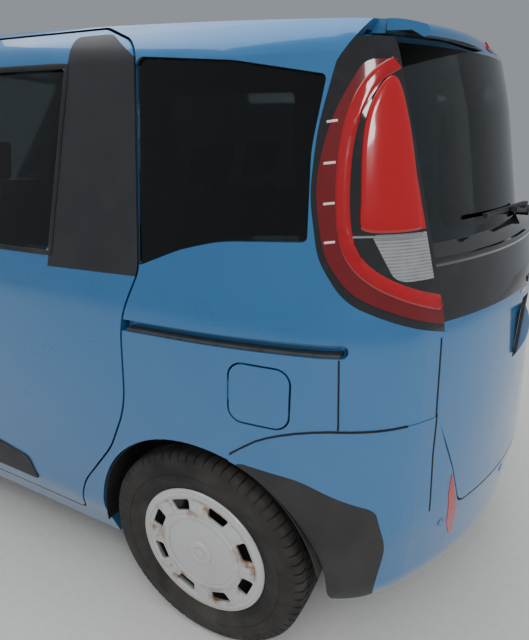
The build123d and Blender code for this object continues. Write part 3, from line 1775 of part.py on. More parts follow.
def make_front_wiper():
    """Left wiper: pivot on the cowl, arm and blade across the foot of the windscreen."""
    pivot_x, pivot_y = wiper_pivot
    with BuildPart() as wiper:
        with BuildSketch(Plane.XY.offset(cowl_top_z)):
            with Locations((pivot_x, pivot_y)):
                Circle(wiper_pivot_radius)
        extrude(amount=42)
        blade_start = on_windscreen(40, 52, wiper_off)
        blade_end = on_windscreen(560, 80, wiper_off)
        blade_middle = (Vector(*blade_start) + Vector(*blade_end)) / 2
        add(bar((pivot_x, pivot_y, cowl_top_z + 34), tuple(blade_middle), 10, 14))
        add(bar(blade_start, blade_end, 10, 12))
    return wiper.part


def on_rear_glass(y, z, off):
    """A point behind the tailgate's glass."""
    for (low, inset, _), (high, next_inset, _) in zip(rear_glass_skin, rear_glass_skin[1:]):
        if low <= z <= high:
            inset_here = inset + (next_inset - inset) * (z - low) / (high - low)
    radius = last.radius - inset_here + off
    return (tail_centre_x - sqrt(radius**2 - y**2), y, z)


def make_tailgate_wiper():
    """Rear wiper: pivot through the glass, arm and blade over its lower edge."""
    face = on_rear_glass(0, rear_pivot_z, rear_pivot_clearance)
    with BuildPart() as wiper:
        with BuildSketch(Plane(face, x_dir=(0, 1, 0), z_dir=(-1, 0, 0))):
            Circle(rear_pivot_radius)
        extrude(amount=rear_wiper_off + 6)
        pivot = on_rear_glass(0, rear_pivot_z, rear_wiper_off)
        add(bar(pivot, on_rear_glass(190, 1212, rear_wiper_off), 12, 14))
        add(bar(on_rear_glass(-20, 1204, rear_wiper_off), on_rear_glass(380, 1220, rear_wiper_off), 10, 12))
    return wiper.part


cowl_top_z = 1050
wiper_pivot = (bonnet_rear_x - 50, 470)
wiper_pivot_radius = 9
wiper_off = 20
rear_pivot_z = 1186
rear_wiper_off = 30
rear_pivot_radius = 15
rear_pivot_clearance = 3.6


def together(*parts):
    """Several solids of one node."""
    return Compound(children=[solid for part in parts for solid in part.solids()])


os.makedirs("parts", exist_ok=True)


def save(part, name):
    """Write one named piece."""
    part.label = name
    export_step(part, f"parts/{name}.step")
    print(name, len(part.solids()), round(part.volume / 1000))


def build_body():
    """Everything on the body that doesn't move."""
    left_frame = make_side_frame()
    save(left_frame, "side_frame_left")
    save(mirrored(left_frame), "side_frame_right")
    save(make_roof(), "roof_panel")
    save(make_windscreen(), "windscreen")
    shell = front_shell()
    save(both_sides(make_wing(shell)), "front_wings")
    save(make_front_bumper(), "front_bumper")
    save(make_nose_panel(shell), "nose_panel")
    save(make_grille(), "front_grille")
    save(both_sides(make_headlamp(shell)), "headlamps")
    save(make_bonnet(shell), "bonnet")
    save(make_cowl(), "cowl_panel")
    save(make_rear_bumper(), "rear_bumper")
    strip = make_door_strip(sliding_door_outline)
    save(both_sides(together(make_corner_cladding(), strip)), "corner_claddings")
    rail = wall_piece(body_skin, 4, slot_depth - glass_fit, tail_spans[:2], True, side_prism(rail_outline))
    save(both_sides(rail), "slide_rails")
    save(both_sides(make_front_wiper()), "front_wipers")
    case, ring, red_lens, clear_lens = make_tail_lamp_pieces()
    save(both_sides(case), "tail_lamp_cases")
    save(both_sides(ring), "tail_lamp_rings")
    reflector = make_reflector(-reflector_stands_out, glass_fit)
    save(both_sides(together(red_lens, reflector)), "tail_lamp_lenses")
    save(both_sides(clear_lens), "reversing_lenses")
    save(both_sides(make_sliding_door()), "sliding_doors")
    save(both_sides(make_pillar_panel()), "pillar_panels")
    panes = together(
        make_pane(sliding_window_outline),
        make_pane(quarter_pane_outline),
        make_pane(quarter_glass_outline, tail_spans[:2]),
    )
    save(both_sides(panes), "side_glass")


def build_cabin():
    """Floor, wheel houses, seats, dashboard and what hangs under the floor."""
    save(make_floor(), "floor_pan")
    rear_house = make_wheel_house(rear_axle_x, rear_arch_radius + 8, rear_house_inner_y, house_outer_y)
    front_house = make_wheel_house(front_axle_x, front_arch_radius + 8, front_house_inner_y, house_outer_y)
    save(both_sides(together(rear_house, front_house)), "wheel_houses")
    front = seat(230, 380, 500)
    save(both_sides(together(*front)), "front_seats")
    save(together(*seat(-560, 0, 1200, 16, (-400, 0, 400))), "second_row_seat")
    save(together(*seat(-1300, 0, 1000, 16, (-250, 250), rear_floor_height, 400)), "third_row_seat")
    save(make_dashboard(), "dashboard")
    save(make_engine(), "engine_block")
    save(make_front_suspension(), "front_suspension")
    save(both_sides(make_strut_tower()), "strut_towers")
    save(make_rear_axle(), "rear_axle")
    save(make_exhaust(), "exhaust_pipe")
    save(make_fuel_tank(), "fuel_tank")


def build_doors():
    """Front doors, tailgate, bonnet and fuel flap."""
    for side, name in ((lambda part: part, "left"), (mirrored, "right")):
        save(side(make_front_door()), f"front_door_{name}")
        save(side(make_pane(front_window_outline, ())), f"front_door_glass_{name}")
        save(side(make_mirror()), f"door_mirror_{name}")
        save(side(make_door_strip(front_door_outline)), f"front_door_strip_{name}")
    save(make_tailgate_panel(), "tailgate_panel")
    rear_glass = tailgate_wall(rear_glass_skin, 0, glass_thickness - glass_fit, rear_glass_outline)
    save(rear_glass, "tailgate_glass")
    garnish = tailgate_wall(tailgate_skin, 0, garnish_depth - glass_fit, garnish_outline)
    save(garnish, "tailgate_garnish")
    save(make_spoiler(), "tailgate_spoiler")
    save(make_plate(), "number_plate")
    save(make_tailgate_wiper(), "tailgate_wiper")
    flap_prism = side_prism(flap_outline(0), near=700)
    flap = wall_piece(body_skin, 0, flap_thickness, tail_spans[:1], False, flap_prism)
    save(flap, "fuel_flap")


def build_running_gear():
    """Knuckles, wheels and the steering wheel."""
    knuckle = make_knuckle()
    save(knuckle, "knuckle_left")
    save(mirrored(knuckle), "knuckle_right")
    save(make_steering_wheel(), "steering_wheel")
    for axle_x, end in ((front_axle_x, "front"), (rear_axle_x, "rear")):
        tyre, rim, cover = tyre_and_wheel(axle_x)
        for side, name in ((lambda part: part, "left"), (mirrored, "right")):
            save(side(tyre), f"tyre_{end}_{name}")
            save(together(side(rim), side(cover)), f"wheel_{end}_{name}")


build_body()
build_cabin()
build_doors()
build_running_gear()
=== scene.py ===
"""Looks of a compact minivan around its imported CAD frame: studio, camera, finishes and detail pieces."""

import logging
from collections.abc import Callable, Sequence
from dataclasses import dataclass, field
from enum import Enum
from math import cos, pi, radians, sin, tau

import bmesh
import bpy
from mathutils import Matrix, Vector
from mathutils.bvhtree import BVHTree
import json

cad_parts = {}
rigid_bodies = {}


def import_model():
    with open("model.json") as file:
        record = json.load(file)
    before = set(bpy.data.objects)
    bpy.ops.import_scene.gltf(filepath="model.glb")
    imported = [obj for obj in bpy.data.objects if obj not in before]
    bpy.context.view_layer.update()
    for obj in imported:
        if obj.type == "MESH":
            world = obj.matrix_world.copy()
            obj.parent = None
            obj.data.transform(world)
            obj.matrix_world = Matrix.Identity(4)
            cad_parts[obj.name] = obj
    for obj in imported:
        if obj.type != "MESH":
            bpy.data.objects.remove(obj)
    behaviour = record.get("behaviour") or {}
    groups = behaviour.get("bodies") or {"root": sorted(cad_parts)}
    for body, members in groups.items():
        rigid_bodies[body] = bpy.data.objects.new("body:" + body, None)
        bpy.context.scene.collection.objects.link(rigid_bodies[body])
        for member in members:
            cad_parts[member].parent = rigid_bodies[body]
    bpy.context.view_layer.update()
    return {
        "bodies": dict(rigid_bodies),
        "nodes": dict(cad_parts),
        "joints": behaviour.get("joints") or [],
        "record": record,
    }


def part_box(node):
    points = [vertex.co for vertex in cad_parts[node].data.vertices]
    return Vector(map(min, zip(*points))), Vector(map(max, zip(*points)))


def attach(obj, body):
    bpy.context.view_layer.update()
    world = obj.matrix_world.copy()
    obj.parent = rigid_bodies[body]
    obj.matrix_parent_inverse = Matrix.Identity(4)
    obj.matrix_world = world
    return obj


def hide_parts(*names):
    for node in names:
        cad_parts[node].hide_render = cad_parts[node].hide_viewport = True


LOG = logging.getLogger("minivan")
Colour = tuple[float, float, float]
Point = tuple[float, float, float]
Line = Sequence[tuple[float, float]]
Socket = bpy.types.NodeSocket
REAR_AXLE = -1.405
FRONT_AXLE = 1.345
AXLE_HEIGHT = 0.311
CABIN_REAR, CABIN_FRONT = -1.3, 0.6
SIDES = (("left", 1), ("right", -1))
AHEAD = Vector((1, 0, 0))
LEFT = Vector((0, 1, 0))
UP = Vector((0, 0, 1))


class Pattern(Enum):
    """Surface patterns, each one shader node group with the same inputs and outputs."""

    FLAKES = "metallic_flakes"
    MOULDED = "moulded_grain"
    WEAVE = "seat_weave"
    BRUSHED = "brushed_metal"
    CAST = "cast_metal"
    RIBBED = "lens_ribs"
    FILM = "smudged_glass"
    RUBBER = "tyre_rubber"


class NodeSheet:
    """A node tree with a short way to add nodes and join them."""

    def __init__(self, tree: bpy.types.NodeTree) -> None:
        """Keep the tree that the nodes go into.

        Args:
            tree: The material's or the group's node tree.
        """
        self.tree = tree

    def add(self, kind: str, inputs: dict | None = None, **settings: str) -> bpy.types.Node:
        """Add one node.

        Args:
            kind: The node's type name after "ShaderNode".
            inputs: Values or sockets for its inputs, by name or index.
            settings: The node's own settings.

        Returns:
            The new node.
        """
        node = self.tree.nodes.new("ShaderNode" + kind)
        for name, value in settings.items():
            setattr(node, name, value)
        for name, value in (inputs or {}).items():
            if isinstance(value, Socket):
                self.tree.links.new(value, node.inputs[name])
            else:
                node.inputs[name].default_value = value
        return node

    def sum(self, kind: str, *values: Socket | float) -> Socket:
        """Add a Math node.

        Args:
            kind: The operation.
            values: Its values or sockets.

        Returns:
            The node's output.
        """
        return self.add("Math", dict(enumerate(values)), operation=kind).outputs[0]

    def vector(self, kind: str, *values: Socket) -> bpy.types.NodeOutputs:
        """Add a Vector Math node and give its outputs."""
        return self.add("VectorMath", dict(enumerate(values)), operation=kind).outputs

    def spread(
        self, value: Socket, low: float, high: float, first: float = 0, last: float = 1,
    ) -> Socket:
        """Map a value smoothly from one range to another.

        Args:
            value: The socket to map.
            low: Start of its range.
            high: End of its range.
            first: Result at the start.
            last: Result at the end.

        Returns:
            The mapped socket.
        """
        names = {"Value": value, "From Min": low, "From Max": high, "To Min": first, "To Max": last}
        return self.add("MapRange", names, interpolation_type="SMOOTHSTEP").outputs[0]

    def noise(self, place: Socket, scale: Socket | float, detail: float = 3) -> Socket:
        """Add a noise texture.

        Args:
            place: Socket with the position.
            scale: Noise scale, a number or a socket.
            detail: Its detail.

        Returns:
            The noise value's socket.
        """
        return self.add("TexNoise", {"Vector": place, "Scale": scale, "Detail": detail}).outputs[0]

    def blend(self, share: Socket, one: Socket | tuple, two: Socket | tuple) -> Socket:
        """Mix two colours.

        Args:
            share: How much of the second colour.
            one: First colour or socket.
            two: Second colour or socket.

        Returns:
            The mixed colour's socket.
        """
        node = self.add("Mix", {0: share, 6: one, 7: two}, data_type="RGBA")
        return node.outputs[2]


def solid(colour: Colour) -> tuple[float, float, float, float]:
    """The colour with full opacity."""
    return (*colour, 1.0)


@dataclass
class EffectLibrary:
    """The shader node groups that the finishes share."""

    groups: dict[str, bpy.types.NodeTree] = field(default_factory=dict)

    def build(self) -> None:
        """Build every pattern, the lining of inner faces, the wheel's stains with painted shade behind its
        cover, and the road dust.
        """
        for pattern in Pattern:
            self.pattern(pattern)
        self.lining()
        self.wheel_stain()
        self.road_dust()

    def start(
        self, name: str, inputs: dict[str, str], outputs: dict[str, str],
    ) -> tuple[NodeSheet, dict, dict]:
        """Begin one node group.

        Args:
            name: The group's name.
            inputs: Its inputs and their kinds.
            outputs: Its outputs and their kinds.

        Returns:
            The sheet, the input sockets and the output node's inputs.
        """
        tree = bpy.data.node_groups.new(name, "ShaderNodeTree")
        for names, way in ((inputs, "INPUT"), (outputs, "OUTPUT")):
            for label, kind in names.items():
                tree.interface.new_socket(name=label, in_out=way, socket_type="NodeSocket" + kind)
        into = tree.nodes.new("NodeGroupInput").outputs
        out = tree.nodes.new("NodeGroupOutput").inputs
        self.groups[name] = tree
        return NodeSheet(tree), into, out

    def pattern(self, pattern: Pattern) -> None:
        """Build one pattern's group.

        Args:
            pattern: Which pattern.
        """
        takes = {"Colour": "Color", "Shade": "Color"}
        takes |= {"Scale": "Float", "Amount": "Float", "Roughness": "Float"}
        gives = {"Colour": "Color", "Roughness": "Float", "Height": "Float"}
        sheet, into, out = self.start(pattern.value, takes, gives)
        place = sheet.add("TexCoord").outputs["Object"]
        share, height = getattr(self, pattern.name.lower())(sheet, place, into["Scale"])
        share = sheet.sum("MULTIPLY", share, into["Amount"])
        sheet.tree.links.new(sheet.blend(share, into["Colour"], into["Shade"]), out["Colour"])
        cloudy = sheet.spread(sheet.noise(place, 9.0), 0.3, 0.7, -0.06, 0.08)
        rough = sheet.sum("ADD", into["Roughness"], sheet.sum("MULTIPLY", cloudy, into["Amount"]))
        sheet.tree.links.new(rough, out["Roughness"])
        sheet.tree.links.new(height, out["Height"])

    def flakes(self, sheet: NodeSheet, place: Socket, scale: Socket) -> tuple[Socket, Socket]:
        """Metal flakes under clear lacquer, with a broad drift of tone.

        Args:
            sheet: Where the nodes go.
            place: Socket with the position.
            scale: Socket with the pattern's scale.

        Returns:
            How much of the second colour shows, and the bump's height.
        """
        cells = sheet.add("TexVoronoi", {"Vector": place, "Scale": scale}).outputs["Color"]
        spark = sheet.add("SeparateColor", {0: cells}).outputs[0]
        drift = sheet.noise(place, 2.2, 2.0)
        share = sheet.sum("ADD", sheet.sum("MULTIPLY", spark, 0.02), sheet.sum("MULTIPLY", drift, 0.6))
        return share, sheet.noise(place, 160.0, 1.0)

    def moulded(self, sheet: NodeSheet, place: Socket, scale: Socket) -> tuple[Socket, Socket]:
        """Fine pebble grain of moulded plastic.

        Args:
            sheet: Where the nodes go.
            place: Socket with the position.
            scale: Socket with the pattern's scale.

        Returns:
            How much of the second colour shows, and the bump's height.
        """
        cells = sheet.add("TexVoronoi", {"Vector": place, "Scale": scale}, feature="SMOOTH_F1").outputs[0]
        wash = sheet.noise(place, 14.0, 5.0)
        return sheet.spread(wash, 0.35, 0.75), cells

    def weave(self, sheet: NodeSheet, place: Socket, scale: Socket) -> tuple[Socket, Socket]:
        """Two crossing sets of threads.

        Args:
            sheet: Where the nodes go.
            place: Socket with the position.
            scale: Socket with the pattern's scale.

        Returns:
            How much of the second colour shows, and the bump's height.
        """
        threads = {"Vector": place, "Scale": scale, "Distortion": 0.6}
        ways = [sheet.add("TexWave", threads, bands_direction=way).outputs[1] for way in ("DIAGONAL", "Y")]
        crossing = sheet.sum("MAXIMUM", *ways)
        fluff = sheet.noise(place, 300.0, 2.0)
        height = sheet.sum("ADD", crossing, sheet.sum("MULTIPLY", fluff, 0.5))
        return sheet.sum("MULTIPLY", crossing, fluff), height

    def brushed(self, sheet: NodeSheet, place: Socket, scale: Socket) -> tuple[Socket, Socket]:
        """Smooth metal with faint streaks and dull patches.

        Args:
            sheet: Where the nodes go.
            place: Socket with the position.
            scale: Socket with the pattern's scale.

        Returns:
            How much of the second colour shows, and the bump's height.
        """
        long = sheet.add("Mapping", {"Vector": place, "Scale": (1.0, 1.0, 0.12)}).outputs[0]
        streaks = sheet.noise(long, scale, 4.0)
        return sheet.spread(streaks, 0.4, 0.8), streaks

    def cast(self, sheet: NodeSheet, place: Socket, scale: Socket) -> tuple[Socket, Socket]:
        """Rough skin of cast or undercoated metal."""
        lumps = sheet.noise(place, scale, 6.0)
        return sheet.spread(sheet.noise(place, 12.0, 6.0), 0.45, 0.7), lumps

    def ribbed(self, sheet: NodeSheet, place: Socket, scale: Socket) -> tuple[Socket, Socket]:
        """Fine moulded ribs inside a lamp lens.

        Args:
            sheet: Where the nodes go.
            place: Socket with the position.
            scale: Socket with the pattern's scale.

        Returns:
            How much of the second colour shows, and the bump's height.
        """
        waves = {"Vector": place, "Scale": scale, "Distortion": 0.15}
        ribs = sheet.add("TexWave", waves, bands_direction="Z").outputs[1]
        return sheet.sum("MULTIPLY", ribs, sheet.noise(place, 30.0)), ribs

    def film(self, sheet: NodeSheet, place: Socket, scale: Socket) -> tuple[Socket, Socket]:
        """Thin uneven film of dust and smears on glass."""
        haze = sheet.spread(sheet.noise(place, scale, 4.0), 0.45, 0.8)
        return haze, sheet.noise(place, 3.0, 1.0)

    def rubber(self, sheet: NodeSheet, place: Socket, scale: Socket) -> tuple[Socket, Socket]:
        """Dull rubber with scuffs and pale dust in its pores."""
        pores = sheet.noise(place, scale, 5.0)
        return sheet.spread(sheet.noise(place, 22.0, 6.0), 0.42, 0.7), pores

    def lining(self) -> None:
        """Build the group that gives faces towards the cabin another colour."""
        takes = {"Colour": "Color", "Lining": "Color", "Roughness": "Float"}
        gives = {"Colour": "Color", "Roughness": "Float"}
        sheet, into, out = self.start("cabin_lining", takes, gives)
        coordinates = sheet.add("TexCoord").outputs
        x = sheet.add("SeparateXYZ", {0: coordinates["Object"]}).outputs[0]
        inner_x = sheet.add("Clamp", {"Value": x, "Min": CABIN_REAR, "Max": CABIN_FRONT}).outputs[0]
        middle = sheet.add("CombineXYZ", {0: inner_x, 1: 0.0, 2: 1.0}).outputs[0]
        towards = sheet.vector("SUBTRACT", middle, coordinates["Object"])[0]
        towards = sheet.vector("NORMALIZE", towards)[0]
        facing = sheet.vector("DOT_PRODUCT", coordinates["Normal"], towards)[1]
        share = sheet.spread(facing, 0.3, 0.4)
        sheet.tree.links.new(sheet.blend(share, into["Colour"], into["Lining"]), out["Colour"])
        rough = sheet.add("Mix", {0: share, 2: into["Roughness"], 3: 0.75}).outputs[0]
        sheet.tree.links.new(rough, out["Roughness"])

    def wheel_stain(self) -> None:
        """Build the group that paints shade on the wheel behind its cover and stains the cover's windows."""
        takes = {"Colour": "Color", "Inside": "Color", "Stain": "Color", "Cover": "Float"}
        sheet, into, out = self.start("wheel_stain", takes, {"Colour": "Color"})
        place = sheet.add("TexCoord").outputs["Object"]
        x, y, z = sheet.add("SeparateXYZ", {0: place}).outputs
        axles = (REAR_AXLE, FRONT_AXLE)
        distances = [sheet.sum("ABSOLUTE", sheet.sum("SUBTRACT", x, axle)) for axle in axles]
        along = sheet.sum("MINIMUM", *distances)
        rise = sheet.sum("ABSOLUTE", sheet.sum("SUBTRACT", z, AXLE_HEIGHT))
        squares = [sheet.sum("POWER", length, 2.0) for length in (along, rise)]
        radius = sheet.sum("SQRT", sheet.sum("ADD", *squares))
        inner_edge, outer_edge = sheet.spread(radius, 0.105, 0.14), sheet.spread(radius, 0.185, 0.165)
        marks = sheet.spread(sheet.noise(place, 26.0, 5.0), 0.48, 0.68)
        share = sheet.sum("MULTIPLY", sheet.sum("MULTIPLY", inner_edge, outer_edge), marks)
        # The brake stain alone; the painted shade behind the cover goes over it next.
        stained = sheet.blend(share, into["Colour"], into["Stain"])
        # Painted shade: what lies deeper than the cover's face takes the dark Inside colour.
        deep = sheet.sum("SUBTRACT", into["Cover"], sheet.sum("ABSOLUTE", y))
        behind = sheet.spread(deep, 0.0, 0.004)
        sheet.tree.links.new(sheet.blend(behind, stained, into["Inside"]), out["Colour"])

    def road_dust(self) -> None:
        """Build the group that dulls a surface near the road."""
        takes = {"Colour": "Color", "Roughness": "Float"}
        takes |= {"Dust": "Color", "Amount": "Float", "Reach": "Float"}
        gives = {"Colour": "Color", "Roughness": "Float"}
        sheet, into, out = self.start("road_dust", takes, gives)
        place = sheet.add("TexCoord").outputs["Object"]
        z = sheet.add("SeparateXYZ", {0: place}).outputs[2]
        fall = sheet.sum("SUBTRACT", 1.0, sheet.sum("DIVIDE", z, into["Reach"]))
        fall = sheet.add("Clamp", {"Value": fall, "Min": 0.12, "Max": 1.0}).outputs[0]
        speck = sheet.spread(sheet.noise(place, 90.0, 3.0), 0.45, 0.85)
        cloud = sheet.spread(sheet.noise(place, 6.0, 5.0), 0.3, 0.8)
        share = sheet.sum("MULTIPLY", sheet.sum("ADD", sheet.sum("MULTIPLY", speck, 0.12), cloud), fall)
        share = sheet.sum("MULTIPLY", share, into["Amount"])
        sheet.tree.links.new(sheet.blend(share, into["Colour"], into["Dust"]), out["Colour"])
        rough = sheet.sum("ADD", into["Roughness"], sheet.sum("MULTIPLY", share, 0.5))
        sheet.tree.links.new(rough, out["Roughness"])


WHEEL_SHADOW = (0.02, 0.02, 0.021)
BRAKE_STAIN = (0.3, 0.17, 0.09)
ROAD_DUST = (0.33, 0.29, 0.24)
COVER_FACE_Y = 0.806


@dataclass(frozen=True)
class Finish:
    """One finish: its colours, its pattern and how it takes light."""

    name: str
    slot: str
    colour: Colour
    shade: Colour
    pattern: Pattern
    scale: float = 400.0
    amount: float = 1.0
    depth: float = 0.1
    roughness: float = 0.5
    metallic: float = 0.0
    coat: float = 0.0
    dust: float = 0.3
    reach: float = 1.1
    lining: Colour | None = None
    clear: float = 0.0
    # Strength of a painted glow: emission that lifts a finish's colour.
    glow: float = 0.0
    sheen: float = 0.0
    # Adds brake stains to the wheel cover and painted shade to the wheel behind it.
    stained: bool = False

    def build(self, effects: EffectLibrary) -> bpy.types.Material:
        """Make the material.

        Args:
            effects: The shared node groups.

        Returns:
            The finished material.
        """
        material = bpy.data.materials.new(self.name)
        material.use_nodes = True
        material.node_tree.nodes.clear()
        sheet = NodeSheet(material.node_tree)
        look = self.group(sheet, effects, self.pattern.value, {
            "Colour": solid(self.colour), "Shade": solid(self.shade), "Scale": self.scale,
            "Amount": self.amount, "Roughness": self.roughness,
        })
        colour, rough = look["Colour"], look["Roughness"]
        if self.lining:
            lined = self.group(sheet, effects, "cabin_lining", {
                "Colour": colour, "Lining": solid(self.lining), "Roughness": rough,
            })
            colour, rough = lined["Colour"], lined["Roughness"]
        # Brake stains, and painted shade on the wheel behind its cover.
        if self.stained:
            colour = self.group(sheet, effects, "wheel_stain", {
                "Colour": colour, "Inside": solid(WHEEL_SHADOW), "Stain": solid(BRAKE_STAIN),
                "Cover": COVER_FACE_Y,
            })["Colour"]
        if self.dust:
            dusty = self.group(sheet, effects, "road_dust", {
                "Colour": colour, "Roughness": rough, "Dust": solid(ROAD_DUST),
                "Amount": self.dust, "Reach": self.reach,
            })
            colour, rough = dusty["Colour"], dusty["Roughness"]
        bump = sheet.add("Bump", {"Height": look["Height"], "Strength": self.depth, "Distance": 0.001})
        shader = sheet.add("BsdfPrincipled", {
            "Base Color": colour, "Roughness": rough, "Normal": bump.outputs[0], "Metallic": self.metallic,
            "Coat Weight": self.coat, "Coat Roughness": 0.04, "Transmission Weight": self.clear,
            "IOR": 1.45, "Sheen Weight": self.sheen, "Sheen Roughness": 0.4,
        })
        # Painted glow: emission in the finish's own colour lifts it without any lit lamp.
        if self.glow:
            sheet.tree.links.new(colour, shader.inputs["Emission Color"])
            shader.inputs["Emission Strength"].default_value = self.glow
        out = material.node_tree.nodes.new("ShaderNodeOutputMaterial")
        sheet.tree.links.new(shader.outputs[0], out.inputs[0])
        return material

    def group(self, sheet: NodeSheet, effects: EffectLibrary, name: str, inputs: dict) -> dict:
        """Place one shared group.

        Args:
            sheet: Where it goes.
            effects: The shared node groups.
            name: Which group.
            inputs: Its values and sockets.

        Returns:
            Its outputs by name.
        """
        node = sheet.tree.nodes.new("ShaderNodeGroup")
        node.node_tree = effects.groups[name]
        for label, value in inputs.items():
            if isinstance(value, Socket):
                sheet.tree.links.new(value, node.inputs[label])
            else:
                node.inputs[label].default_value = value
        return node.outputs


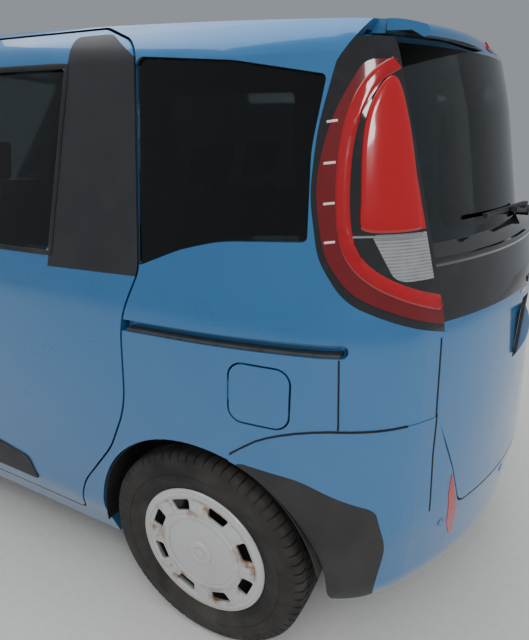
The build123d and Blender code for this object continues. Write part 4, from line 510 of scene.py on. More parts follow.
P = Pattern
LINING_GREY = (0.16, 0.155, 0.15)
HEADLINER = (0.42, 0.41, 0.39)
SKY_BLUE = (0.028, 0.145, 0.335)
SKY_BLUE_LIGHT = (0.055, 0.21, 0.44)
UNDERCOAT = (0.03, 0.03, 0.031)
UNDERCOAT_DIRT = (0.07, 0.055, 0.04)
FINISHES = (
    Finish("sky_blue_paint", "car_paint", SKY_BLUE, SKY_BLUE_LIGHT, P.FLAKES, 1500.0, 0.5, 0.002, 0.3,
           0.45, 1.0, 0.06, 1.2, LINING_GREY),
    Finish("roof_paint", "car_paint", SKY_BLUE, SKY_BLUE_LIGHT, P.FLAKES, 1500.0, 0.7, 0.002, 0.3, 0.35,
           1.0, 0.1, 4.0, HEADLINER),
    Finish("lamp_red", "tail_red", (0.11, 0.0, 0.0015), (0.06, 0.0, 0.001), P.RIBBED, 60.0, 0.5, 0.05,
           0.22, 0.0, 1.0, 0.02, 2.0),
    # Partly painted highlight: the raised band is a lighter red than lamp_red, standing for light on its
    # upward-facing top.
    Finish("band_red_with_highlight", "tail_red", (0.27, 0.0, 0.003), (0.18, 0.0, 0.002), P.FILM, 60.0, 0.5, 0.02, 0.14,
           0.0, 1.0, 0.01, 2.0),
    Finish("tick_grey", "clear_lens", (0.62, 0.5, 0.5), (0.5, 0.42, 0.42), P.FILM, 60.0, 0.5, 0.02, 0.25,
           0.0, 1.0, 0.0),
    Finish("chrome", "bare_steel", (0.78, 0.78, 0.79), (0.6, 0.6, 0.61), P.BRUSHED, 90.0, 0.4, 0.01,
           0.08, 1.0, 0.0, 0.04),
    Finish("joint_black", "black_matte", (0.006, 0.006, 0.007), (0.012, 0.012, 0.012), P.CAST, 200.0,
           0.4, 0.05, 0.7, dust=0.05),
    Finish("seal_rubber", "black_matte", (0.010, 0.010, 0.011), (0.02, 0.02, 0.02), P.RUBBER, 400.0, 0.4,
           0.15, 0.55, dust=0.08, reach=2.0),
    # Painted glow: the brake lens is not lit, and its faint emission only lifts its red.
    Finish("brake_red", "red_lens", (0.3, 0.0, 0.003), (0.2, 0.0, 0.002), P.RIBBED, 70.0, 0.3, 0.02,
           0.16, 0.0, 1.0, 0.01, 2.0, glow=0.03),
    Finish("reverse_clear", "clear_lens", (0.3, 0.31, 0.32), (0.08, 0.085, 0.09), P.RIBBED, 46.0, 1.0,
           0.7, 0.16, 0.35, 1.0, 0.08, 2.0),
    Finish("gloss_black", "black_gloss", (0.006, 0.006, 0.007), (0.014, 0.014, 0.016), P.FILM, 30.0, 0.6,
           0.01, 0.06, 0.0, 1.0, 0.06, 1.6),
    Finish("dull_black", "black_matte", (0.016, 0.016, 0.018), (0.026, 0.026, 0.028), P.MOULDED, 900.0,
           0.5, 0.35, 0.55, 0.0, 0.0, 0.1),
    Finish("charcoal_panel", "charcoal", (0.014, 0.015, 0.018), (0.026, 0.027, 0.031), P.MOULDED, 1100.0,
           0.25, 0.12, 0.42, 0.0, 0.1, 0.05, 1.6),
    Finish("tinted_glass", "privacy_glass", (0.07, 0.085, 0.09), (0.12, 0.13, 0.13), P.FILM, 8.0, 0.4,
           0.004, 0.03, 0.0, 0.0, 0.03, 3.0, clear=1.0),
    Finish("window_glass", "clear_glass", (0.72, 0.8, 0.77), (0.8, 0.82, 0.8), P.FILM, 8.0, 0.4, 0.004,
           0.02, 0.0, 0.0, 0.02, 3.0, clear=1.0),
    Finish("tread_rubber", "tyre_rubber", (0.011, 0.010, 0.010), (0.028, 0.025, 0.022), P.RUBBER, 500.0,
           0.6, 0.4, 0.7, 0.0, 0.0, 0.14, 0.9),
    # Its last flag adds brake stains and painted shade on the wheel behind the cover.
    Finish("cover_silver", "wheel_silver", (0.56, 0.57, 0.57), (0.44, 0.43, 0.41), P.FLAKES, 1800.0, 0.9,
           0.02, 0.36, 0.5, 0.3, 0.2, 0.8, stained=True),
    Finish("seat_cloth", "seat_fabric", (0.045, 0.045, 0.05), (0.12, 0.12, 0.125), P.WEAVE, 150.0, 1.0,
           0.6, 0.85, dust=0.0, sheen=0.25),
    Finish("dash_plastic", "cabin_plastic", (0.03, 0.03, 0.033), (0.055, 0.055, 0.058), P.MOULDED, 800.0,
           0.7, 0.4, 0.5, dust=0.08, reach=3.0),
    Finish("engine_alloy", "cast_alloy", (0.32, 0.32, 0.31), (0.16, 0.15, 0.14), P.CAST, 220.0, 0.9, 0.5,
           0.5, 0.7, dust=0.4),
    Finish("undercoat", "chassis_steel", UNDERCOAT, UNDERCOAT_DIRT, P.CAST, 160.0, 0.8, 0.6, 0.6, 0.3,
           dust=0.5),
    Finish("plain_steel", "bare_steel", (0.4, 0.39, 0.37), (0.2, 0.15, 0.11), P.BRUSHED, 60.0, 0.8, 0.1,
           0.35, 0.9, dust=0.4),
    # Painted shade: the slide rails take a dark steel colour that stands for the shade inside the door's
    # slot.
    Finish("shaded_rail_steel", "bare_steel", (0.07, 0.075, 0.08), (0.04, 0.04, 0.04), P.BRUSHED, 60.0, 0.8,
           0.1, 0.4, 0.6, dust=0.2),
    Finish("leather", "cabin_plastic", (0.022, 0.022, 0.024), (0.04, 0.04, 0.043), P.MOULDED, 420.0, 0.6,
           0.5, 0.42, dust=0.0, coat=0.15),
    Finish("dark_screen", "black_gloss", (0.004, 0.004, 0.005), (0.01, 0.011, 0.013), P.FILM, 40.0, 0.6,
           0.01, 0.08, 0.0, 0.6, 0.0),
    Finish("amber_lens", "clear_lens", (0.72, 0.24, 0.02), (0.5, 0.15, 0.01), P.RIBBED, 60.0, 0.6, 0.2,
           0.2, 0.0, 1.0, 0.05),
    Finish("lamp_white", "clear_lens", (0.82, 0.83, 0.84), (0.6, 0.61, 0.62), P.RIBBED, 80.0, 0.5, 0.2,
           0.15, 0.1, 1.0, 0.05),
    Finish("mirror_silver", "bare_steel", (0.8, 0.81, 0.82), (0.7, 0.71, 0.72), P.FILM, 20.0, 0.5, 0.004,
           0.03, 1.0, dust=0.03),
    Finish("plate_paint", "plate_white", (0.7, 0.7, 0.68), (0.5, 0.5, 0.47), P.CAST, 120.0, 0.5, 0.05,
           0.35, 0.0, 0.4, 0.25, 2.0),
    Finish("headlamp_clear", "headlamp_glass", (0.32, 0.34, 0.36), (0.5, 0.52, 0.54), P.RIBBED, 18.0,
           0.8, 0.2, 0.1, 0.6, 1.0, 0.1),
    Finish("carpet", "chassis_steel", UNDERCOAT, UNDERCOAT_DIRT, P.CAST, 160.0, 0.8, 0.6, 0.6, 0.0, 0.0,
           0.4, 1.1, (0.05, 0.05, 0.052)),
)
SLOT_FINISHES = {
    "car_paint": "sky_blue_paint", "tail_red": "lamp_red", "red_lens": "brake_red",
    "clear_lens": "reverse_clear", "black_gloss": "gloss_black", "black_matte": "dull_black",
    "charcoal": "charcoal_panel", "privacy_glass": "tinted_glass", "clear_glass": "window_glass",
    "tyre_rubber": "tread_rubber", "wheel_silver": "cover_silver", "seat_fabric": "seat_cloth",
    "cabin_plastic": "dash_plastic", "cast_alloy": "engine_alloy", "chassis_steel": "undercoat",
    "bare_steel": "plain_steel", "plate_white": "plate_paint", "headlamp_glass": "headlamp_clear",
}
NODE_FINISHES = {"roof_panel": "roof_paint", "floor_pan": "carpet", "slide_rails": "shaded_rail_steel"}


class Workshop:
    """The frame, the finishes, and the way each piece is finished and set on its body."""

    def __init__(self, frame: dict) -> None:
        """Build the shared groups and all finishes.
        """
        self.frame = frame
        self.nodes = frame["nodes"]
        effects = EffectLibrary()
        effects.build()
        self.finishes = {finish.name: (finish, finish.build(effects)) for finish in FINISHES}

    def dress_nodes(self) -> None:
        """Give every CAD node the finish of its slot."""
        for part in self.frame["record"]["subparts"]:
            node = self.nodes[part["node"]]
            name = NODE_FINISHES.get(part["node"]) or SLOT_FINISHES[part["material_slot"]]
            node.data.materials.clear()
            node.data.materials.append(self.finishes[name][1])

    def place(
        self, name: str, parts: "MeshParts", finish: str, body: str = "body", smooth: bool = True,
    ) -> bpy.types.Object:
        """Make one piece's object, finish it and let it ride.

        Args:
            name: The piece's name.
            parts: Its vertices and faces.
            finish: Name of its finish.
            body: The body it rides on.
            smooth: Whether its faces are shaded smooth.

        Returns:
            The new object.
        """
        mesh = bpy.data.meshes.new(name)
        mesh.from_pydata([tuple(v) for v in parts.points], [], parts.faces)
        mesh.validate()
        solid_mesh = bmesh.new()
        solid_mesh.from_mesh(mesh)
        bmesh.ops.remove_doubles(solid_mesh, verts=solid_mesh.verts, dist=1e-6)
        bmesh.ops.recalc_face_normals(solid_mesh, faces=solid_mesh.faces)
        solid_mesh.to_mesh(mesh)
        solid_mesh.free()
        if smooth:
            mesh.shade_smooth()
            mesh.set_sharp_from_angle(angle=radians(38))
        piece = bpy.data.objects.new(name, mesh)
        bpy.context.collection.objects.link(piece)
        mesh.materials.append(self.finishes[finish][1])
        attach(piece, body)
        LOG.info("%s on %s: %d faces", name, body, len(mesh.polygons))
        return piece

    def pair(self, name: str, parts: "MeshParts", finish: str, body: str = "body") -> None:
        """Place a left piece and its mirror on the right.

        Args:
            name: The pieces' name without the side.
            parts: Form of the left one.
            finish: Name of their finish.
            body: The body they ride on, without the side where each side has its own.
        """
        for side, way in SIDES:
            ridden = body if body == "body" else f"{body}_{side}"
            self.place(f"{name}_{side}", parts if way == 1 else parts.mirrored(), finish, ridden)


@dataclass
class MeshParts:
    """Vertices and faces that are being collected for one piece."""

    points: list = field(default_factory=list)
    faces: list = field(default_factory=list)

    def add(self, points: list, faces: list) -> None:
        """Add a lump of vertices and the faces among them.

        Args:
            points: The vertices.
            faces: The faces, by number of vertex.
        """
        start = len(self.points)
        self.points.extend(Vector(point) for point in points)
        self.faces.extend(tuple(start + i for i in face) for face in faces)

    def rows(
        self, rows: list[list], closed_row: bool = True, closed_ends: bool = True, ring: bool = False,
    ) -> "MeshParts":
        """Add a skin over equal rows of points.

        Args:
            rows: The rows, each a list of points.
            closed_row: Whether each row closes on itself.
            closed_ends: Whether the first and last rows are capped.
            ring: Whether the last row joins the first.

        Returns:
            These parts.
        """
        across, along = len(rows[0]), len(rows)
        faces = []
        for i in range(along if ring else along - 1):
            for j in range(across if closed_row else across - 1):
                k, n = (i + 1) % along, (j + 1) % across
                faces.append((i * across + j, i * across + n, k * across + n, k * across + j))
        if closed_ends and not ring:
            faces.append(tuple(range(across)))
            faces.append(tuple(range((along - 1) * across, along * across)))
        self.add([point for row in rows for point in row], faces)
        return self

    def stack(self, steps: Sequence, count: int, place: Callable[..., Point]) -> "MeshParts":
        """Add a rounded form as a stack of loops.

        Args:
            steps: Two numbers for each loop, such as its share of the size and its lift.
            count: Points in a loop.
            place: Gives a point for its two places in the loop, from -1 to 1, and the loop's two numbers.

        Returns:
            These parts.
        """
        loop = [rounded(cos(tau * k / count), sin(tau * k / count)) for k in range(count)]
        return self.rows([[place(a, b, *step) for a, b in loop] for step in steps])

    def lathe(self, centre: Point, axis: Vector, up: Vector, profile: list, steps: int) -> "MeshParts":
        """Add a turned form.

        Args:
            centre: A point on its axis.
            axis: Direction of the axis.
            up: Direction at right angles to the axis.
            profile: Pairs of distance along the axis and radius, a closed line.
            steps: Points round the turn.

        Returns:
            These parts.
        """
        side = axis.cross(up)
        rows = []
        for i in range(steps):
            turn = tau * i / steps
            out = up * cos(turn) + side * sin(turn)
            rows.append([Vector(centre) + axis * along + out * radius for along, radius in profile])
        return self.rows(rows, ring=True)

    def strip(
        self, line: list[tuple[Vector, Vector]], width: float, height: float, sink: float = 0.001,
    ) -> "MeshParts":
        """Add a raised strip along points of a surface.

        Args:
            line: Points with the surface's normals.
            width: Width of the strip.
            height: How far it stands out.
            sink: How far its foot goes under the surface.

        Returns:
            These parts.
        """
        rows = []
        for i, (point, normal) in enumerate(line):
            before, after = line[max(i - 1, 0)][0], line[min(i + 1, len(line) - 1)][0]
            along = (after - before).normalized()
            across = normal.cross(along).normalized()
            rows.append([
                point + across * width * a + normal * b
                for a, b in ((-0.5, -sink), (-0.5, height * 0.6), (-0.3, height), (0.3, height),
                             (0.5, height * 0.6), (0.5, -sink))
            ])
        return self.rows(rows)

    def mirrored(self) -> "MeshParts":
        """The same form on the car's other side."""
        points = [Vector((p.x, -p.y, p.z)) for p in self.points]
        return MeshParts(points, [tuple(reversed(face)) for face in self.faces])


class Skin:
    """The faces of some CAD nodes, to set pieces on."""

    nearest_reach = 1.15
    far_ahead, far_left, far_above = 3.0, 1.8, 2.0

    def __init__(self, shop: Workshop, *names: str) -> None:
        """Gather the faces.

        Args:
            shop: The workshop with the nodes.
            names: The nodes.
        """
        points, faces = [], []
        for name in names:
            mesh = shop.nodes[name].data
            start = len(points)
            points.extend(vertex.co.copy() for vertex in mesh.vertices)
            faces.extend([start + i for i in face.vertices] for face in mesh.polygons)
        self.tree = BVHTree.FromPolygons(points, faces)

    def touch(self, start: Point, way: Point) -> tuple[Vector, Vector]:
        """The first point of the skin that a straight look meets, or else the nearest one to its path.

        Args:
            start: Where the look starts.
            way: Its direction.

        Returns:
            The point and its normal, turned towards the look's start.
        """
        direction = Vector(way).normalized()
        point, normal, _, _ = self.tree.ray_cast(Vector(start), direction)
        if point is None:
            point, normal, _, _ = self.tree.find_nearest(Vector(start) + direction * self.nearest_reach)
        return point, normal if normal.dot(direction) < 0 else -normal

    def from_left(self, x: float, z: float) -> tuple[Vector, Vector]:
        """Point and normal of the left side at a place of the side view."""
        return self.touch((x, self.far_left, z), (0, -1, 0))

    def from_behind(self, y: float, z: float) -> tuple[Vector, Vector]:
        """Point and normal of the tail at a place of the rear view."""
        return self.touch((-self.far_ahead, y, z), (1, 0, 0))

    def from_ahead(self, y: float, z: float) -> tuple[Vector, Vector]:
        """Point and normal of the front at a place of the front view."""
        return self.touch((self.far_ahead, y, z), (-1, 0, 0))

    def from_above(self, x: float, y: float) -> tuple[Vector, Vector]:
        """Point and normal of the top at a place of the plan."""
        return self.touch((x, y, self.far_above), (0, 0, -1))

    def side_line(self, outline: Line, step: float) -> list:
        """Points and normals of the left side along a line of the side view, at even steps."""
        return [self.from_left(x, z) for x, z in even_points(outline, step)]

    def band(self, line: Line, width: float, height: float, step: float = 0.012) -> MeshParts:
        """A wide raised band that lies on the left side along a line of the side view.

        Args:
            line: The band's middle as x and z.
            width: Its width in the side view.
            height: How far it stands out.
            step: Distance between its points.

        Returns:
            The band's form.
        """
        points = even_points(line, step)
        half = (
            (-0.5, -0.0015), (-0.5, height * 0.4), (-0.44, height * 0.85), (-0.34, height), (-0.12, height),
        )
        edges = half + tuple((-share, lift) for share, lift in half[::-1])
        rows = []
        for i, (x, z) in enumerate(points):
            ax, az = points[max(i - 1, 0)]
            bx, bz = points[min(i + 1, len(points) - 1)]
            along = Vector((bx - ax, bz - az)).normalized()
            row = []
            for share, lift in edges:
                point, normal = self.from_left(x - along.y * width * share, z + along.x * width * share)
                row.append(point + normal * lift)
            rows.append(row)
        return MeshParts().rows(rows)

    def patch(self, outline: Line, height: float, soft: float = 0.006) -> MeshParts:
        """A raised plate with soft edges inside an outline of the side view.

        Args:
            outline: Its closed edge as x and z.
            height: How far its middle stands out.
            soft: Width of its rounded edge.

        Returns:
            The plate's form, as rings that shrink towards its middle.
        """
        middle = Vector((sum(x for x, _ in outline), sum(z for _, z in outline))) / len(outline)
        reach = sum((Vector(corner) - middle).length for corner in outline) / len(outline)
        rings = (
            (1.0, -0.0015), (1.0, height * 0.35), (1 - soft * 0.35 / reach, height * 0.75),
            (1 - soft / reach, height), (0.8, height * 1.02), (0.55, height * 1.04), (0.28, height * 1.04),
        )
        rows = []
        for share, lift in rings:
            row = []
            for corner in outline:
                point, normal = self.from_left(*(middle + (Vector(corner) - middle) * share))
                row.append(point + normal * lift)
            rows.append(row)
        return MeshParts().rows(rows)


def rounded(a: float, b: float) -> tuple[float, float]:
    """Point of a rounded square in the direction (a, b)."""
    reach = (abs(a) ** 7 + abs(b) ** 7) ** (1 / 7)
    return 0.97 * a / reach, 0.97 * b / reach


def even_points(line: Line, step: float) -> list[tuple[float, float]]:
    """Points at even steps along a line.

    Args:
        line: Its corners.
        step: Distance between points.

    Returns:
        The points, both ends among them.
    """
    found = []
    for (x, z), (next_x, next_z) in zip(line, line[1:]):
        count = max(round(((next_x - x) ** 2 + (next_z - z) ** 2) ** 0.5 / step), 1)
        found += [(x + (next_x - x) * i / count, z + (next_z - z) * i / count) for i in range(count)]
    return found + [line[-1]]


def quarter_points(corners: Line, after: Line) -> list[tuple[float, float]]:
    """Points at a quarter and three quarters of each side of a line.

    Args:
        corners: Where the sides start.
        after: Where they end.

    Returns:
        The points, two for each side.
    """
    return [
        (ax + (bx - ax) * share, az + (bz - az) * share)
        for (ax, az), (bx, bz) in zip(corners, after) for share in (0.25, 0.75)
    ]


def closed_smooth(corners: Line, rounds: int = 2) -> list[tuple[float, float]]:
    """A closed outline whose corners are cut round.

    Args:
        corners: The line's corners.
        rounds: How often corners are cut.

    Returns:
        The points.
    """
    for _ in range(rounds):
        corners = quarter_points(corners, corners[1:] + corners[:1])
    return corners


def smooth_line(corners: Line, rounds: int = 3) -> list[tuple[float, float]]:
    """A line whose corners are cut round, with its ends kept.

    Args:
        corners: The line's corners.
        rounds: How often corners are cut.

    Returns:
        The points.
    """
    for _ in range(rounds):
        corners = [corners[0], *quarter_points(corners, corners[1:]), corners[-1]]
    return corners


@dataclass
class Studio:
    """Camera at the photograph's place, pale floor and soft lights."""

    camera_at: Point = (-2.094, 1.743, 1.437)
    yaw: float = radians(28.05)
    pitch: float = radians(20.99)
    focal_pixels: float = 524.2
    long_side: float = 640.0
    floor_size: float = 14.0
    lights: tuple = (
        ("key_light", (-3.2, 4.2, 4.6), 4.5, 260.0, False),
        ("sky_light", (0.5, 0.5, 6.5), 7.0, 330.0, True),
        ("rear_light", (-6.0, -1.5, 3.0), 4.0, 130.0, False),
        ("front_light", (6.5, 1.5, 3.5), 4.0, 200.0, False),
        ("right_light", (0.5, -6.0, 3.5), 4.0, 200.0, False),
        ("strip_light", (-4.5, 3.4, 3.4), 0.7, 26.0, True),
    )

    def build(self) -> None:
        """Place camera, lights, sky and floor."""
        self.camera()
        for light in self.lights:
            self.lamp(*light)
        self.sky()
        self.floor()

    def camera(self) -> None:
        """Place the camera."""
        data = bpy.data.cameras.new("photo_camera")
        data.sensor_width = 36.0
        data.lens = self.focal_pixels / self.long_side * data.sensor_width
        camera = bpy.data.objects.new("photo_camera", data)
        bpy.context.collection.objects.link(camera)
        camera.location = self.camera_at
        look = Vector((sin(self.yaw) * cos(self.pitch), -cos(self.yaw) * cos(self.pitch), -sin(self.pitch)))
        camera.rotation_euler = look.to_track_quat("-Z", "Y").to_euler()
        bpy.context.scene.camera = camera

    def lamp(self, name: str, place: Point, size: float, power: float, mirrored: bool) -> None:
        """Place one soft light that looks at the car.

        Args:
            name: Its name.
            place: Where it stands.
            size: Edge of its square.
            power: Its power in watts.
            mirrored: Whether it shows in glossy surfaces.
        """
        data = bpy.data.lights.new(name, "AREA")
        data.size = size
        data.energy = power
        lamp = bpy.data.objects.new(name, data)
        bpy.context.collection.objects.link(lamp)
        lamp.location = place
        lamp.visible_glossy = mirrored
        lamp.rotation_euler = (Vector((-0.4, 0, 0.7)) - Vector(place)).to_track_quat("-Z", "Y").to_euler()

    def sky(self) -> None:
        """Give the world a soft pale light."""
        world = bpy.data.worlds.new("studio")
        world.use_nodes = True
        back = world.node_tree.nodes["Background"]
        back.inputs["Color"].default_value = (0.72, 0.78, 0.84, 1)
        back.inputs["Strength"].default_value = 0.4
        bpy.context.scene.world = world

    def floor(self) -> None:
        """Lay the pale floor."""
        half = self.floor_size / 2
        mesh = bpy.data.meshes.new("studio_floor")
        corners = [(-half, -half, 0), (half, -half, 0), (half, half, 0), (-half, half, 0)]
        mesh.from_pydata(corners, [], [(0, 1, 2, 3)])
        floor = bpy.data.objects.new("studio_floor", mesh)
        bpy.context.collection.objects.link(floor)
        material = bpy.data.materials.new("pale_floor")
        material.use_nodes = True
        sheet = NodeSheet(material.node_tree)
        place = sheet.add("TexCoord").outputs["Object"]
        tone = sheet.blend(sheet.noise(place, 40.0, 6.0), solid((0.42, 0.42, 0.41)), solid((0.5, 0.5, 0.49)))
        shader = material.node_tree.nodes["Principled BSDF"]
        sheet.tree.links.new(tone, shader.inputs["Base Color"])
        shader.inputs["Roughness"].default_value = 0.85
        mesh.materials.append(material)


@dataclass
class RoadWheel:
    """One tyre with its tread, the trim of its wheel cover and the liner of its arch."""

    end: str
    axle_x: float
    side: str
    way: int
    radius: float = 0.3108
    half_width: float = 0.0925
    middle_y: float = 0.740
    pitches: int = 68
    groove: float = 0.0058
    windows: int = 8
    pad_radius: float = 0.151
    pad_half: float = 0.0205
    ring_steps: int = 96
    liner_sweep: float = 174.0

    def build(self, shop: Workshop) -> None:
        """Make the tyre and the small parts of the wheel.

        Args:
            shop: The workshop with frame and finishes.
        """
        name = f"{self.end}_{self.side}"
        tyre = shop.place(f"tread_{name}", self.tyre(), "tread_rubber", f"wheel_{name}")
        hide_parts(f"tyre_{name}")
        skin = Skin(shop, f"wheel_{name}")
        shop.place(f"cover_pads_{name}", self.pads(skin), "cover_silver", f"wheel_{name}")
        shop.place(f"cover_cap_{name}", self.cap(skin), "cover_silver", f"wheel_{name}")
        shop.place(f"arch_liner_{name}", self.liner(), "seal_rubber")

    def on_cover(self, skin: Skin, radius: float, turn: float, lift: float = 0.0) -> Vector:
        """Point over the wheel cover's outer face.

        Args:
            skin: The wheel.
            radius: Distance from the wheel's middle.
            turn: Angle from straight up.
            lift: Height over the face.

        Returns:
            The point.
        """
        start = (self.axle_x + radius * sin(turn), self.way * 1.2, AXLE_HEIGHT + radius * cos(turn))
        return skin.touch(start, (0, -self.way, 0))[0] + LEFT * (self.way * lift)

    def ring(self, parts: MeshParts, skin: Skin, section: tuple) -> None:
        """Add a raised ring round the cover.

        Args:
            parts: What it is added to.
            skin: The wheel.
            section: Radii and heights of its section.
        """
        turns = [tau * k / self.ring_steps for k in range(self.ring_steps)]
        rows = [[self.on_cover(skin, radius, turn, lift) for radius, lift in section] for turn in turns]
        parts.rows(rows, ring=True)

    def pads(self, skin: Skin) -> MeshParts:
        """Raised pads between the windows of the cover, and the step round its edge.

        Args:
            skin: The faces it stands on.

        Returns:
            The form.
        """
        parts = MeshParts()
        steps = ((1.0, -0.002), (1.0, 0.0022), (0.93, 0.0034), (0.6, 0.0036), (0.1, 0.0036))
        for number in range(self.windows):
            middle = tau * number / self.windows
            parts.stack(steps, 24, lambda a, b, share, lift: self.on_cover(
                skin, self.pad_radius + self.pad_half * b * share,
                middle + (0.125 + 0.018 * b) * a * share, lift,
            ))
        self.ring(parts, skin, (
            (0.1785, -0.001), (0.1785, 0.0016), (0.181, 0.0026), (0.188, 0.0026), (0.1905, 0.001),
            (0.1905, -0.001),
        ))
        return parts

    def cap(self, skin: Skin) -> MeshParts:
        """Dome of the cover with a sunk ring and a plain round cap in its middle.

        Args:
            skin: The faces it stands on.

        Returns:
            The form.
        """
        axis = LEFT * self.way
        profile = [
            (0.004, 0.0), (0.0045, 0.012), (0.0035, 0.0155), (0.002, 0.017), (0.0035, 0.019), (0.0035, 0.034),
            (0.002, 0.037), (-0.001, 0.038), (-0.002, 0.0),
        ]
        parts = MeshParts().lathe(self.on_cover(skin, 0.0, 0.0) - axis * 0.0005, axis, UP, profile, 64)
        self.ring(parts, skin, (
            (0.108, -0.001), (0.108, 0.002), (0.112, 0.0034), (0.120, 0.0034), (0.1235, 0.0015),
            (0.1235, -0.002),
        ))
        return parts

    def liner(self) -> MeshParts:
        """Thin dark liner inside the wheel arch's edge.

        Returns:
            The form.
        """
        radius, first = (0.354, -78) if self.end == "rear" else (0.366, -96)
        section = ((0.700, radius), (0.822, radius), (0.822, radius - 0.003), (0.700, radius - 0.003))
        turns = [radians(first + self.liner_sweep * k / 40) for k in range(41)]
        return MeshParts().rows([
            [(self.axle_x + r * sin(turn), self.way * y, AXLE_HEIGHT + r * cos(turn)) for y, r in section]
            for turn in turns
        ])

    def profile(self) -> list[tuple[float, float, float]]:
        """The tyre's section: distance from the middle, radius, and how deep side cuts go there.

        Returns:
            The section's points.
        """
        top, half = self.radius, self.half_width
        rows = []
        for rib_start, rib_end, cut in ((0.0, 0.011, 0.0), (0.018, 0.044, 0.35), (0.051, 0.076, 1.0)):
            crown = [top - 9 * y * y / 16 for y in (rib_start, rib_end)]
            rows += [(rib_start, crown[0], cut), (rib_end, crown[1], cut)]
            if rib_end < 0.07:
                foot = top - self.groove - 0.002
                rows += [(rib_end + 0.001, foot, 0), (rib_end + 0.006, foot, 0)]
        rows += [
            (0.082, top - 0.0085, 1.0), (0.0865, top - 0.0150, 0.9), (0.0885, top - 0.0215, 0.6),
            (0.0893, top - 0.0225, 0), (0.0905, top - 0.030, 0), (0.0899, top - 0.0305, 0),
            (0.0915, top - 0.040, 0), (half, top - 0.052, 0), (half, top - 0.062, 0),
            (0.0912, top - 0.0625, 0), (0.0912, top - 0.0645, 0), (0.0920, top - 0.0655, 0),
            (0.0905, top - 0.078, 0), (0.0870, top - 0.094, 0), (0.0862, top - 0.0945, 0),
            (0.0855, top - 0.0965, 0), (0.0858, top - 0.0985, 0), (0.0800, top - 0.112, 0),
            (0.0780, top - 0.1185, 0), (0.0700, top - 0.1195, 0),
        ]
        inner = [(-y, radius, cut) for y, radius, cut in rows if y > 0]
        return inner[::-1] + rows

    def tyre(self) -> MeshParts:
        """The tyre's mesh, with ribs, grooves and side cuts.

        Returns:
            The form.
        """
        section = self.profile()
        return MeshParts().rows([
            [
                self.tread_point(pitch + share, y, radius - cut * depth * self.groove)
                for y, radius, depth in section
            ]
            for pitch in range(self.pitches)
            for share, cut in ((0.0, 0), (0.80, 0), (0.82, 1), (0.97, 1))
        ], ring=True)

    def tread_point(self, pitch: float, y: float, reach: float) -> Point:
        """Point of the tyre, turned on where the side cuts lean.

        Args:
            pitch: Place round the tread, in pitches.
            y: Distance from its middle.
            reach: Radius there.

        Returns:
            The point.
        """
        lean = (0.25 if y > 0 else -0.25) * abs(y) / 0.08
        if abs(y) < 0.05:
            lean = lean * 2 + 0.5
        turn = tau * (pitch + lean) / self.pitches
        return self.axle_x + reach * sin(turn), self.way * self.middle_y + y, AXLE_HEIGHT + reach * cos(turn)


@dataclass
class TailLamp:
    """Light band, tick marks, brake lens and chrome line of one pair of tail lamps."""

    ring_line: tuple = (
        (-1.786, 1.540), (-1.752, 1.512), (-1.730, 1.462), (-1.721, 1.400), (-1.722, 1.340), (-1.729, 1.270),
        (-1.742, 1.206), (-1.768, 1.158), (-1.810, 1.124), (-1.856, 1.098), (-1.912, 1.070), (-1.930, 1.062),
    )
    brake_edge: tuple = (
        (-1.772, 1.219), (-1.764, 1.240), (-1.761, 1.284), (-1.751, 1.36), (-1.747, 1.43), (-1.757, 1.480),
        (-1.772, 1.512), (-1.786, 1.520), (-1.799, 1.500), (-1.811, 1.465), (-1.826, 1.415), (-1.842, 1.35),
        (-1.857, 1.285), (-1.871, 1.226), (-1.866, 1.219),
    )
    ticks: tuple = (
        ((-1.678, 1.4315), (-1.700, 1.4345)), ((-1.683, 1.353), (-1.706, 1.356)),
        ((-1.692, 1.275), (-1.714, 1.278)), ((-1.703, 1.199), (-1.724, 1.202)),
    )
    chrome: tuple = ((-1.755, 1.2115), (-1.790, 1.2125), (-1.83, 1.2125), (-1.874, 1.2125))

    def build(self, shop: Workshop) -> None:
        """Make the pieces of both lamps.

        Args:
            shop: The workshop with frame and finishes.
        """
        lamp = Skin(shop, "tail_lamp_cases", "tail_lamp_rings", "tail_lamp_lenses", "reversing_lenses")
        # The light band's lighter red is partly a painted highlight.
        shop.pair("lamp_light_band", lamp.band(smooth_line(self.ring_line), 0.026, 0.004), "band_red_with_highlight")
        shop.pair("brake_lens_cover", lamp.patch(closed_smooth(self.brake_edge), 0.0045), "brake_red")
        for number, line in enumerate(self.ticks, 1):
            shop.pair(f"lamp_tick_{number}", lamp.band(line, 0.005, 0.0016, 0.004), "tick_grey")
        shop.pair("lamp_chrome_line", lamp.band(smooth_line(self.chrome, 2), 0.005, 0.0042), "chrome")


